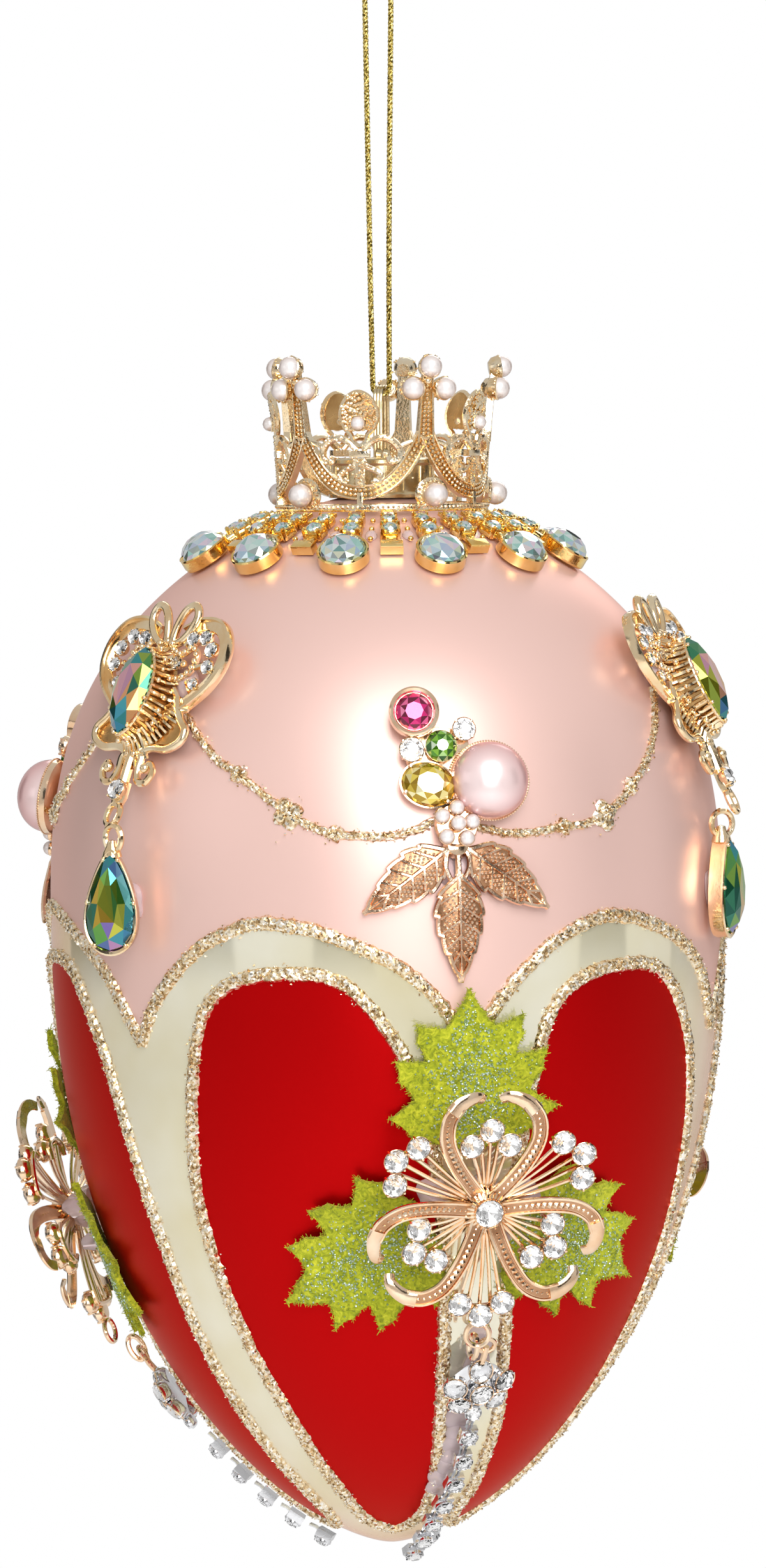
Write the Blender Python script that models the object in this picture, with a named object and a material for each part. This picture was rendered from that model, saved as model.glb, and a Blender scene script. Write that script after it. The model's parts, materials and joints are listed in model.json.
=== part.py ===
"""A jewelled glass egg that hangs from a cord: the egg, its crown and collar, and the jewels glued to it.

Metres, +Z up. The origin is the top of the cord's loop, where the ornament hangs from a hook.
Angles are in degrees, measured from the front (-Y) towards +X. Heights on the egg are measured
from its widest circle. Lengths below are in millimetres, and every mesh is built in millimetres
and scaled once, when it is written.
"""
from math import atan2, cos, hypot, pi, radians, sin

import bmesh
import bpy
from mathutils import Matrix, Vector

MM = 0.001

# The glass egg: blunt end up, its profile a superellipse above and below the widest circle
EQUATOR_DROP = 162.4          # from the hook point down to the widest circle
EGG_RADIUS = 56.9
EGG_TOP = 71.6                # widest circle up to the top of the glass
EGG_BOTTOM = 107.3            # widest circle down to the point
EGG_TOP_POWERS = (2.745, 0.653)
EGG_BOTTOM_POWERS = (2.198, 0.648)
EGG_SIDES = 30
EGG_RINGS = 15

FIT_GAP = 0.35                # clearance kept between two pieces that touch on the real ornament

# Cap, wire hanger and cord
CAP_RADIUS = 9.0
CAP_HEIGHT = 6.8
HANGER_WIDTH = 5.0            # between the centres of the two legs
HANGER_HEIGHT = 12.4
HANGER_WIRE = 1.2
HANGER_TURN = 62.0            # the loop stands almost edge-on to the front
CORD_DIAMETER = 1.0
CORD_SIDES = 6
# The cord's route, from under the hanger up to the hook and back, as (x, y, height below the hook)
CORD_ROUTE = (
    (-0.22, 0.12, -74.55), (-0.85, 0.44, -74.25), (-1.22, 0.64, -73.45), (-1.27, 0.66, -72.2), (-1.32, 0.62, -70.0),
    (-1.50, 0.40, -62.0), (-1.66, 0.20, -54.0), (-1.78, 0.0, -45.0), (-1.90, 0.0, -35.0), (-2.00, 0.0, -25.0),
    (-2.10, 0.0, -15.0), (-2.16, 0.0, -9.0), (-2.18, 0.0, -5.0), (-2.02, 0.0, -2.9), (-1.45, 0.0, -1.35),
    (-0.60, 0.0, -0.62), (0.25, 0.0, -0.50), (1.15, 0.0, -0.85), (1.95, 0.0, -1.85), (2.35, 0.0, -3.30),
    (2.40, 0.0, -5.5), (2.32, 0.0, -10.0), (2.14, 0.0, -20.0), (1.95, 0.0, -30.0), (1.76, 0.0, -40.0),
    (1.58, -0.15, -50.0), (1.42, -0.40, -60.0), (1.30, -0.62, -69.0), (1.27, -0.66, -72.2), (1.22, -0.64, -73.45),
    (0.85, -0.44, -74.25), (0.22, -0.12, -74.55),
)
CORD_SPACING = 3.0            # between the points read from the smooth curve

# The crown: a pierced casting of five points and five festoons
CROWN_POINTS = 5
CROWN_TURN = 9.7              # angle of the first point
CROWN_RADIUS = 17.2           # middle of the casting's wall
CROWN_WALL = 1.3
CROWN_SEAT_GAP = 0.84         # the ring's lower edge stands this far above the glass
CROWN_STEM_TOP = 23.0         # the rest are heights above the lower edge
CROWN_SPLIT = 13.0
CROWN_DIP = 3.2               # middle of a festoon at its lowest
CROWN_RING_HEIGHT = 1.2
CROWN_FLARE = 1.9             # the casting leans out by this much at the top of a stem
CROWN_FLARE_START = 5.0
FESTOON_WIDTH = 2.4
STEM_WIDTH = 2.0
POINT_PEARL = 3.8
POINT_PEARL_HEIGHTS = (24.0, 20.4)
POINT_PEARL_SPREAD = 2.45
FLEUR_PEARL = 2.4
FLEUR_WIDTH = 5.8
FLEUR_TOP = 19.8
FLEUR_KNOT = 9.7
FLEUR_FOOT = 5.2
BASE_PEARL = 4.0
BASE_PEARL_RADIUS = 19.5
BASE_PEARL_HEIGHT = 2.9
BASE_PEARL_TURN = 3.5

# The collar: twelve big round stones on cup chain, with a small bar between each pair
COLLAR_STONES = 12
COLLAR_TURN = 3.7
COLLAR_INNER = 19.2           # distances from the axis, along the surface of the egg
COLLAR_OUTER = 26.0
COLLAR_BASE = 0.7             # thickness of the linking web
CUP_SIZE = 2.5
CUP_HEIGHT = 1.9
BAR_SIZE = (3.8, 2.0, 1.6)
BAR_RADIUS = 28.0
GEM_RADIUS = 30.2
GEM_SETTING = 8.7
GEM_SETTING_HEIGHT = 2.3
GEM_DIAMETER = 7.8
GEM_DOME = 1.5

# The three jewel brooches with their teardrop pendants
JEWEL_ANGLES = (-61.0, 57.0, 180.0)
JEWEL_HEIGHT = 37.0
JEWEL_PLATE = (1.2, 2.6)      # bottom and top of the casting above the glass
LOBE_WIDTH = 2.6
LOOP_WIDTH = 1.4
NAVETTE_LENGTH = 15.0
NAVETTE_WIDTH = 8.0
NAVETTE_SEAT = 6.4            # height of the stone's edge above the glass
NAVETTE_DOME = 2.6
# Right-hand outlines of the casting, from the middle of the brooch: lobe, top loop, and foot with its scroll
LOBE_OUTLINE = (
    (2.0, -1.0), (8.2, -1.4), (12.6, 2.2), (14.0, 7.2), (12.0, 11.4), (8.7, 12.6), (5.2, 10.4), (3.2, 5.0))
LOOP_OUTLINE = ((1.0, 10.0), (5.2, 12.4), (4.4, 16.4), (1.4, 14.6))
FOOT_OUTLINE = (
    (5.5, -3.2), (10.8, -5.0), (8.0, -8.4), (2.2, -8.8), (1.8, -10.6), (5.8, -12.0), (4.4, -14.6), (1.5, -13.0),
    (1.3, -17.4))
JEWEL_CHIP = 3.2
JEWEL_CHIP_DROP = 16.2        # the small crystal below the scrolls
JEWEL_EYE = (3.0, 3.0, 0.9)   # the link's width, length and wire
JEWEL_EYE_DROP = 17.6
PENDANT_HEIGHT = 5.2          # where the teardrop hangs, above the widest circle
PENDANT_LENGTH = 17.0
PENDANT_WIDTH = 11.2
PENDANT_BACK = 0.9            # its back above the glass
PENDANT_TURNS = (36.0, 0.0, 0.0)  # each may hang with one side standing off the glass
PENDANT_THICKNESS = 2.9
TEARDROP_LENGTH = 14.6
TEARDROP_WIDTH = 9.4
TEARDROP_DOME = 2.6

# The three sprays of stones, pearls and leaves
SPRAY_ANGLES = (-2.9, 117.1, 237.1)
SPRAY_HEIGHTS = (24.4, 24.4, 18.9)
SPRAY_BASE = ((-7.8, 4.4), (-4.4, 9.8), (2.6, 9.0), (3.8, 1.0), (0.9, -7.0), (-5.0, -2.0))
RUBY_PLACE = (-5.9, 11.8)
RUBY_SETTING = 8.2
RUBY_DIAMETER = 6.0
YELLOW_PLACE = (-4.6, 0.0)
YELLOW_SETTING = (9.2, 7.4)
YELLOW_SIZE = (7.6, 5.8)
YELLOW_TURN = 8.0
GREEN_PLACE = (-2.0, 5.8)
GREEN_DIAMETER = 5.2
CHIP_PLACES = ((-6.9, 5.6), (2.0, 8.9))
CHIP_DIAMETER = 3.9
BIG_PEARL_PLACE = (5.6, 0.4)
BIG_PEARL = 12.2
BIG_PEARL_CUP = 12.8
SEED_PLACE = (-0.1, -6.6)
SEED_PEARL = 2.3
LEAF_START = (0.1, -8.6)
LEAF_LENGTHS = (18.6, 22.6, 18.6)
LEAF_LIFT = 1.0
LEAF_TURNS = (-54.0, 0.0, 54.0)
LEAF_WIDTH = 8.6
LEAF_THICKNESS = 0.7
STONE_DOME = 1.6

# Felt leaves, flower brooches, rosettes and rhinestone chains
FLOWER_ANGLES = (1.1, 121.1, 241.1)
FLOWER_HEIGHTS = (-42.0, -42.0, -49.5)
FELT_THICKNESS = 1.0
FELT_LIFT = 0.65
FELT_TURNS = {"top": 4.0, "left": 122.0, "right": -117.0}
# Half the width of a felt leaf at distances from the middle of the flower, tip first
FELT_SIDE = (
    (0.15, 34.5), (3.6, 29.0), (8.4, 28.8), (7.8, 23.5), (12.2, 23.0), (11.0, 17.5), (13.5, 14.0), (3.2, 8.2))
FLOWER_LIFT = 6.2             # back of the brooch above the glass
FLOWER_CENTRE = 5.4
ARM_WIDTH = 2.6
ARM_THICKNESS = 0.9
ARM_RISE = 2.2
FAN_TOP = 1.9                 # top of the stone clusters above the brooch's back
INNER_CLUSTER = 12.0
OUTER_CLUSTER = 16.5
CLUSTER_SPREAD = 2.35
CLUSTER_STONE = 4.0
ARM_PATH = ((1.3, 1.1), (5.2, 6.4), (7.7, 12.4), (6.5, 17.0), (2.9, 19.1))
ARM_PROFILE = (0.1, 0.6, 1.0, 0.7, 0.0)
ROSETTE_DROP = 30.6           # below the middle of its brooch
ROSETTE_ANGLE = 3.0           # the rosette hangs a little to the right of its brooch
ROSETTE_STONE = 3.8
ROSETTE_LIFT = 3.2
ROSETTE_REACH = (6.0, 4.9)    # out to its stones and to the notches between them
ROSETTE_THICKNESS = 2.0
ROSETTE_LINK = (3.6, 8.4, 1.6)  # where its link starts and ends above its middle, and the link's width
CHAIN_CUP = 3.2
CHAIN_PITCH = 5.6
CHAIN_LIFT = 2.4
CHAIN_CUP_HEIGHT = 2.2
CHAIN_CUPS = 8
CHAIN_TURN = 4.5              # the chain runs down a little to the right of the brooch
CHAIN_GAP = 9.4               # the first cup below the middle of the rosette
POINT_CLEAR = 2.2             # the last cup keeps this far above the egg's point

# name: (colour, roughness, metallic)
FINISHES = {
    "pink_lacquer": ((0.80, 0.55, 0.50), 0.35, 0.0),
    "pale_gold": ((0.90, 0.72, 0.42), 0.22, 1.0),
    "yellow_gold": ((0.88, 0.62, 0.22), 0.20, 1.0),
    "rose_gold": ((0.84, 0.58, 0.40), 0.25, 1.0),
    "gold_thread": ((0.62, 0.48, 0.14), 0.45, 0.6),
    "clear_stone": ((0.85, 0.92, 0.92), 0.05, 0.0),
    "many_colour_stone": ((0.20, 0.45, 0.35), 0.05, 0.4),
    "ruby_stone": ((0.75, 0.02, 0.22), 0.05, 0.0),
    "yellow_stone": ((0.70, 0.62, 0.06), 0.05, 0.0),
    "pink_pearl": ((0.86, 0.68, 0.68), 0.25, 0.0),
    "lime_felt": ((0.48, 0.60, 0.05), 0.95, 0.0),
    "silver": ((0.85, 0.86, 0.88), 0.18, 1.0),
}


def clear_scene():
    for thing in list(bpy.data.objects):
        bpy.data.objects.remove(thing, do_unlink=True)


def finish(name):
    if name in bpy.data.materials:
        return bpy.data.materials[name]
    colour, roughness, metallic = FINISHES[name]
    material = bpy.data.materials.new(name)
    material.use_nodes = True
    shader = material.node_tree.nodes["Principled BSDF"]
    shader.inputs["Base Color"].default_value = (*colour, 1.0)
    shader.inputs["Roughness"].default_value = roughness
    shader.inputs["Metallic"].default_value = metallic
    return material


# The egg's surface

def egg_radius(height):
    """Radius of the egg at a height above its widest circle."""
    if height >= 0:
        top, (inner, outer) = EGG_TOP, EGG_TOP_POWERS
    else:
        top, (inner, outer) = EGG_BOTTOM, EGG_BOTTOM_POWERS
    share = min(abs(height) / top, 1.0)
    return EGG_RADIUS * (1 - share ** inner) ** outer


def egg_height(radius):
    """Height of the upper half of the egg where it has this radius."""
    inner, outer = EGG_TOP_POWERS
    return EGG_TOP * (1 - (radius / EGG_RADIUS) ** (1 / outer)) ** (1 / inner)


def seat(angle, height, lift=0.0):
    """A frame on the glass: x to the right, y up along the surface, z outwards, in millimetres."""
    step = 0.05
    slope = (egg_radius(height + step) - egg_radius(height - step)) / (2 * step)
    turn = radians(angle)
    out = Vector((sin(turn), -cos(turn), -slope)).normalized()
    right = Vector((cos(turn), sin(turn), 0.0))
    up = out.cross(right)
    radius = egg_radius(height)
    place = Vector((radius * sin(turn), -radius * cos(turn), height)) + out * lift
    frame = Matrix((right, up, out)).transposed().to_4x4()
    frame.translation = place
    return frame


def walk(height, distance):
    """Height reached by walking up the surface of the egg by a distance, down if it is negative."""
    steps = max(1, int(abs(distance) / 0.5))
    stride = distance / steps
    for _ in range(steps):
        step = 0.05
        slope = (egg_radius(height + step) - egg_radius(height - step)) / (2 * step)
        height += stride / hypot(1.0, slope)
    return height


def wrapped(angle, height, u, v, lift):
    """A point u to the right of and v above a seat, both measured along the glass."""
    there = walk(height, v)
    side = angle + u / egg_radius(there) * 180 / pi
    return seat(side, there, lift).translation


# Building closed shells, each in its own bmesh

def skin(rings, closed=False):
    """A closed tube through rings of points that all have the same number of points."""
    mesh = bmesh.new()
    columns = [[mesh.verts.new(point) for point in ring] for ring in rings]
    pairs = list(zip(columns, columns[1:]))
    if closed:
        pairs.append((columns[-1], columns[0]))
    else:
        mesh.faces.new(columns[0])
        mesh.faces.new(columns[-1])
    for one, two in pairs:
        count = len(one)
        for i in range(count):
            j = (i + 1) % count
            mesh.faces.new((one[i], one[j], two[j], two[i]))
    bmesh.ops.recalc_face_normals(mesh, faces=mesh.faces)
    return mesh


def spun(profile, sides):
    """Turn a profile of (radius, height) round the axis; it closes on the axis or into a ring."""
    mesh = bmesh.new()
    rim = [mesh.verts.new((radius, 0.0, height)) for radius, height in profile]
    edges = [mesh.edges.new(pair) for pair in zip(rim, rim[1:])]
    if profile[0][0] > 0:
        edges.append(mesh.edges.new((rim[-1], rim[0])))
    bmesh.ops.spin(
        mesh, geom=rim + edges, axis=(0, 0, 1), cent=(0, 0, 0), angle=2 * pi, steps=sides, use_merge=True)
    bmesh.ops.remove_doubles(mesh, verts=mesh.verts, dist=0.001)
    bmesh.ops.recalc_face_normals(mesh, faces=mesh.faces)
    return mesh


def slab(outline, low, high, shrink=1.0):
    """An outline in x and y, raised from low to high, its top drawn in by a factor."""
    mesh = bmesh.new()
    base = mesh.faces.new([mesh.verts.new((x, y, low)) for x, y in outline])
    grown = bmesh.ops.extrude_face_region(mesh, geom=[base])["geom"]
    top = [item for item in grown if isinstance(item, bmesh.types.BMVert)]
    middle = sum((vert.co for vert in top), Vector()) / len(top)
    for vert in top:
        vert.co = middle + (vert.co - middle) * shrink
        vert.co.z = high
    bmesh.ops.recalc_face_normals(mesh, faces=mesh.faces)
    return mesh


def oval(length, width, sides, centre=(0.0, 0.0), turn=0.0):
    """Points of an ellipse, its length along y before it is turned."""
    points = []
    for i in range(sides):
        angle = 2 * pi * (i + 0.5) / sides
        x, y = width / 2 * sin(angle), length / 2 * cos(angle)
        side = radians(turn)
        points.append((centre[0] + x * cos(side) - y * sin(side), centre[1] + x * sin(side) + y * cos(side)))
    return points


def strip(path, width, low, high, closed=False):
    """A flat bar along a path in x and y; low and high may rise from point to point."""
    rings = []
    count = len(path)
    for i, (x, y) in enumerate(path):
        before = path[(i - 1) % count] if closed or i > 0 else path[i]
        after = path[(i + 1) % count] if closed or i < count - 1 else path[i]
        along = Vector((after[0] - before[0], after[1] - before[1])).normalized()
        side = Vector((along.y, -along.x)) * pick(width, i) / 2
        bottom, top = pick(low, i), pick(high, i)
        rings.append([
            (x - side.x, y - side.y, bottom), (x + side.x, y + side.y, bottom),
            (x + side.x, y + side.y, top), (x - side.x, y - side.y, top),
        ])
    return skin(rings, closed)


def pick(value, i):
    return value[i] if isinstance(value, (list, tuple)) else value


def moved(mesh, frame):
    mesh.transform(frame)
    return mesh


def node(name, shells, look, smooth=False):
    """One object from one or more closed shells, which are united where they overlap."""
    finished = bpy.data.objects.new(name, merged(name, shells[1:] or shells))
    bpy.context.collection.objects.link(finished)
    finished.data.materials.append(finish(look))
    if len(shells) > 1:
        core = bpy.data.objects.new(name + "_core", merged(name + "_core", shells[:1]))
        bpy.context.collection.objects.link(core)
        core.hide_render = True
        core.display_type = "WIRE"
        union = finished.modifiers.new("union", "BOOLEAN")
        union.operation = "UNION"
        union.object = core
        union.use_self = True
    if smooth:
        finished.data.shade_smooth()
    return finished


def merged(name, shells):
    """Shells joined into one mesh, placed below the hook and scaled to metres."""
    whole = bmesh.new()
    for shell in shells:
        held = bpy.data.meshes.new("held")
        shell.to_mesh(held)
        whole.from_mesh(held)
        bpy.data.meshes.remove(held)
        shell.free()
    whole.transform(Matrix.Scale(MM, 4) @ Matrix.Translation((0, 0, -EQUATOR_DROP)))
    data = bpy.data.meshes.new(name)
    whole.to_mesh(data)
    whole.free()
    return data


# The glass, its cap, wire and cord

def glass_egg():
    profile = []
    for i in range(EGG_RINGS + 1):
        angle = pi / 2 - pi * i / EGG_RINGS
        height = (EGG_TOP if angle > 0 else EGG_BOTTOM) * sin(angle)
        radius = 0.0 if i in (0, EGG_RINGS) else egg_radius(height)
        profile.append((radius, height))
    node("glass_egg", [spun(profile, EGG_SIDES)], "pink_lacquer", smooth=True)


def cap_top():
    return egg_height(CAP_RADIUS) + FIT_GAP + CAP_HEIGHT


def cap():
    under = [(share * CAP_RADIUS, egg_height(share * CAP_RADIUS) + FIT_GAP) for share in (1.0, 0.5)]
    profile = [(0.0, cap_top()), (CAP_RADIUS, cap_top()), *under, (0.0, EGG_TOP + FIT_GAP)]
    node("cap", [spun(profile, 16)], "pale_gold", smooth=True)


def hanger_top():
    return cap_top() + FIT_GAP + HANGER_HEIGHT


def hanger():
    """A bent wire: two legs on the cap and a half-round bow."""
    half = HANGER_WIDTH / 2
    foot = cap_top() + FIT_GAP
    spring = foot + HANGER_HEIGHT - HANGER_WIRE / 2 - half
    path = [(-half, foot), (-half, spring)]
    path += [(-half * cos(pi * i / 6), spring + half * sin(pi * i / 6)) for i in range(1, 6)]
    path += [(half, spring), (half, foot)]
    bow = strip(path, HANGER_WIRE * 0.75, -HANGER_WIRE / 2, HANGER_WIRE / 2)
    upright = Matrix.Rotation(radians(HANGER_TURN), 4, "Z") @ Matrix.Rotation(pi / 2, 4, "X")
    node("hanger", [moved(bow, upright)], "pale_gold")


def smooth_route(route, spacing):
    """Points of a Catmull-Rom curve through the route."""
    points = [Vector(point) for point in route]
    points = [2 * points[0] - points[1], *points, 2 * points[-1] - points[-2]]
    curve = []
    for a, b, c, d in zip(points, points[1:], points[2:], points[3:]):
        steps = max(1, round((c - b).length / spacing))
        for i in range(steps):
            t = i / steps
            curve.append(
                0.5 * (2 * b + (c - a) * t + (2 * a - 5 * b + 4 * c - d) * t ** 2
                       + (3 * b - a - 3 * c + d) * t ** 3))
    curve.append(points[-2])
    return curve


def cord():
    data = bpy.data.curves.new("cord", "CURVE")
    data.dimensions = "3D"
    data.bevel_depth = CORD_DIAMETER / 2 * MM
    data.bevel_resolution = (CORD_SIDES - 4) // 2
    data.use_fill_caps = True
    spline = data.splines.new("POLY")
    points = smooth_route(CORD_ROUTE, CORD_SPACING)
    spline.points.add(len(points) - 1)
    for slot, point in zip(spline.points, points):
        slot.co = (*(point * MM), 1.0)
    data.materials.append(finish("gold_thread"))
    bpy.context.collection.objects.link(bpy.data.objects.new("cord", data))


# The crown

def crown_base():
    """Height of the crown's lower edge, where its ring meets the glass."""
    return egg_height(CROWN_RADIUS - CROWN_WALL / 2) + CROWN_SEAT_GAP


def crown_seat(angle, height, radius=CROWN_RADIUS):
    """A frame on the crown's wall: x to the right, y up, z outwards."""
    turn = radians(angle)
    frame = Matrix(((cos(turn), 0, sin(turn)), (sin(turn), 0, -cos(turn)), (0, 1, 0))).to_4x4()
    frame.translation = (radius * sin(turn), -radius * cos(turn), crown_base() + height)
    return frame


def round_wall(path, width, wall=CROWN_WALL):
    """A bar of the crown's wall: its path is (angle, height) and it bends with the wall."""
    rings = []
    for i, (angle, height) in enumerate(path):
        before, after = path[max(i - 1, 0)], path[min(i + 1, len(path) - 1)]
        run = radians(after[0] - before[0]) * CROWN_RADIUS
        lean = atan2(after[1] - before[1], run)
        side, rise = -sin(lean) * width / 2, cos(lean) * width / 2
        ring = []
        for share, depth in ((-1, -wall / 2), (1, -wall / 2), (1, wall / 2), (-1, wall / 2)):
            spot = crown_seat(angle + share * side / CROWN_RADIUS * 180 / pi, height + share * rise)
            ring.append(spot @ Vector((0, 0, depth)))
        rings.append(ring)
    return skin(rings)


def cupped_pearl(diameter, x, y, back, middle, sides=5):
    """A half pearl in a cup that is open to the front: one closed shell, from its back to its crown."""
    radius = diameter / 2
    rings = []
    for depth, share in ((back, 1.0), (middle, 1.12), (middle + 0.9 * radius, 0.5)):
        rings.append([(px, py, depth) for px, py in oval(diameter * share, diameter * share, sides, (x, y))])
    return skin(rings)


def crown_point(angle):
    """A stem with its trefoil of three half pearls in cups."""
    here = crown_seat(angle, 0)
    stem = strip([(0, CROWN_SPLIT - 1.2), (0, CROWN_STEM_TOP)], (STEM_WIDTH * 1.25, STEM_WIDTH * 0.8),
                 -CROWN_WALL / 2 - 0.04, CROWN_WALL / 2 + 0.04)
    shells = [moved(stem, here)]
    top, low = POINT_PEARL_HEIGHTS
    for i, (x, y) in enumerate(((0, top), (-POINT_PEARL_SPREAD, low), (POINT_PEARL_SPREAD, low))):
        shells.append(moved(cupped_pearl(POINT_PEARL, x, y, -1.1 - 0.07 * i, 0.8 + 0.05 * i), here))
    return shells


def crown_festoon(start):
    """The U-shaped band between two points, with the post that stands it on the ring."""
    span = 360 / CROWN_POINTS
    path = []
    for i in range(7):
        share = i / 3 - (0.97 if i < 6 else 0.99)
        height = CROWN_DIP + (CROWN_SPLIT - CROWN_DIP) * abs(share) ** 2.4
        path.append((start + span / 2 * (1 + share), height))
    post = slab([(-0.5, 0.4), (0.5, 0.4), (0.5, CROWN_DIP), (-0.5, CROWN_DIP)], -0.55, 0.55)
    return [round_wall(path, FESTOON_WIDTH), moved(post, crown_seat(start + span / 2, 0))]


def crown_fleur(angle):
    """The fleur-de-lis inside a festoon: foot, knot, two side curls and a petal with its pearl."""
    half = FLEUR_WIDTH / 2
    knot = FLEUR_KNOT
    right = [(0, CROWN_DIP - 0.3), (2.6, FLEUR_FOOT), (0.9, knot - 1.0), (3.2, knot + 1.1), (5.2, knot + 0.4),
             (5.8, knot - 2.4), (8.3, knot - 1.3), (7.0, knot + 2.2), (4.4, knot + 3.2), (1.5, knot + 1.2),
             (half * 0.8, knot + 3.2), (half, knot + 5.7), (half * 0.7, FLEUR_TOP - 1.4), (0, FLEUR_TOP)]
    plate = slab(right + mirrored(reversed(right[1:-1])), -0.45, 0.4)
    bmesh.ops.triangulate(plate, faces=plate.faces)
    for vert in plate.verts:
        along, height, depth = vert.co
        vert.co = crown_seat(angle + along / CROWN_RADIUS * 180 / pi, height) @ Vector((0, 0, depth))
    return [plate, moved(cupped_pearl(FLEUR_PEARL, 0, knot + 4.9, 0.1, 0.6), crown_seat(angle, 0))]


def crown_base_pearl(angle):
    here = crown_seat(angle, BASE_PEARL_HEIGHT)
    reach = BASE_PEARL_RADIUS - CROWN_RADIUS
    return [moved(cupped_pearl(BASE_PEARL, 0, 0, reach - 2.3, reach - 0.2), here)]


def flared(mesh):
    """Lean the upper part of the crown outwards, more and more towards the top."""
    tall = CROWN_STEM_TOP - CROWN_FLARE_START
    for vert in mesh.verts:
        above = max(0.0, vert.co.z - crown_base() - CROWN_FLARE_START) / tall
        out = Vector((vert.co.x, vert.co.y, 0)).normalized()
        vert.co += out * CROWN_FLARE * above ** 1.5
    return mesh


def crown():
    inner, outer = CROWN_RADIUS - CROWN_WALL / 2, CROWN_RADIUS + CROWN_WALL / 2
    ring = spun([(inner, 0), (outer, 0), (outer, CROWN_RING_HEIGHT), (inner, CROWN_RING_HEIGHT)], 20)
    shells = [moved(ring, Matrix.Translation((0, 0, crown_base())))]
    for i in range(CROWN_POINTS):
        angle = CROWN_TURN + 360 / CROWN_POINTS * i
        shells += crown_point(angle) + crown_festoon(angle)
        shells += crown_fleur(angle + 180 / CROWN_POINTS)
        shells += crown_base_pearl(angle + BASE_PEARL_TURN)
    node("crown", [flared(shell) for shell in shells], "pale_gold")


# The collar

def collar_seat(angle, radius, lift=FIT_GAP):
    return seat(angle, egg_height(radius), lift)


def collar():
    """A web that follows the shoulder of the egg, with cups, bars and the settings of the big stones."""
    reach = [COLLAR_INNER, COLLAR_OUTER]
    under = [(radius, egg_height(radius) + FIT_GAP) for radius in reach]
    over = [(radius, height + COLLAR_BASE) for radius, height in reversed(under)]
    shells = [spun(under + over, 2 * COLLAR_STONES)]
    for i in range(2 * COLLAR_STONES):
        angle = COLLAR_TURN + 180 / COLLAR_STONES * i
        big = i % 2 == 0
        centre, edge = (GEM_RADIUS, GEM_SETTING / 2) if big else (BAR_RADIUS, BAR_SIZE[1] / 2)
        row = [collar_seat(angle, radius) for radius in (COLLAR_INNER + 0.4, COLLAR_OUTER - 0.3)]
        row.append(collar_seat(angle, centre) @ Matrix.Translation((0, edge - 0.9, 0)))
        rings = [[spot @ Vector(corner) for corner in ((-w, 0, 0.2), (w, 0, 0.2), (w, 0, h), (-w, 0, h))]
                 for spot, w, h in zip(row, (CUP_SIZE / 2, CUP_SIZE / 2, 0.85), (CUP_HEIGHT, CUP_HEIGHT, 0.9))]
        shells.append(skin(rings))
        if big:
            setting = slab(oval(GEM_SETTING, GEM_SETTING, 8), 0.0, GEM_SETTING_HEIGHT)
            shells.append(moved(setting, collar_seat(angle, GEM_RADIUS)))
        else:
            across, along, tall = BAR_SIZE
            bar = slab([(-across / 2, -along / 2), (across / 2, -along / 2),
                        (across / 2, along / 2), (-across / 2, along / 2)], 0.05, tall)
            shells.append(moved(bar, collar_seat(angle, BAR_RADIUS)))
    node("collar", shells, "yellow_gold")


def collar_stones():
    seat_height = FIT_GAP + GEM_SETTING_HEIGHT + FIT_GAP
    for i in range(COLLAR_STONES):
        angle = COLLAR_TURN + 360 / COLLAR_STONES * i
        gem = slab(oval(GEM_DIAMETER, GEM_DIAMETER, 8), 0, GEM_DOME, 0.6)
        node(f"collar_stone_{i + 1:02d}", [moved(gem, collar_seat(angle, GEM_RADIUS, seat_height))], "clear_stone")


# The jewel brooches and their pendants

def mirrored(points):
    return [(-x, y) for x, y in points]


def navette(length, width):
    """A pointed oval with eight corners."""
    corners = [(0, 1), (0.62, 0.62), (1, 0), (0.62, -0.62), (0, -1), (-0.62, -0.62), (-1, 0), (-0.62, 0.62)]
    return [(x * width / 2, y * length / 2) for x, y in corners]


def teardrop(length, width):
    """A pear outline with its point up, its round end centred below."""
    radius = width / 2
    points = [(0, length / 2)]
    for i in range(8):
        angle = radians(60 - 300 / 7 * i)
        points.append((radius * cos(angle), -length / 2 + radius + radius * sin(angle)))
    return points


def jewel_frame(number, angle):
    low, high = JEWEL_PLATE
    foot = list(FOOT_OUTLINE) + mirrored(reversed(FOOT_OUTLINE))
    basket = navette(NAVETTE_LENGTH - 0.8, NAVETTE_WIDTH - 0.8)
    shells = [slab(basket, low + 0.05, NAVETTE_SEAT - FIT_GAP - 0.7, 1.05), slab(foot, low + 0.1, high - 0.1)]
    for mirror in (list, mirrored):
        shells.append(strip(mirror(LOBE_OUTLINE), LOBE_WIDTH, low, high, closed=True))
        shells.append(strip(mirror(LOOP_OUTLINE), LOOP_WIDTH, low + 0.05, high + 0.1, closed=True))
    shells.append(slab(oval(JEWEL_CHIP, JEWEL_CHIP, 6, (0, -JEWEL_CHIP_DROP)), low + 0.15, high + 1.6, 0.7))
    across, along, wire = JEWEL_EYE
    eye = [(-across / 2, -JEWEL_EYE_DROP), (-across / 2, -JEWEL_EYE_DROP - along),
           (across / 2, -JEWEL_EYE_DROP - along), (across / 2, -JEWEL_EYE_DROP)]
    shells.append(strip(eye, wire, low + 0.2, high - 0.2, closed=True))
    here = seat(angle, JEWEL_HEIGHT)
    node(f"jewel_brooch_{number}", [moved(shell, here) for shell in shells], "pale_gold")
    stone = slab(navette(NAVETTE_LENGTH, NAVETTE_WIDTH), NAVETTE_SEAT - 0.3, NAVETTE_SEAT + NAVETTE_DOME, 0.55)
    node(f"jewel_stone_{number}", [moved(stone, here)], "many_colour_stone")


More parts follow.
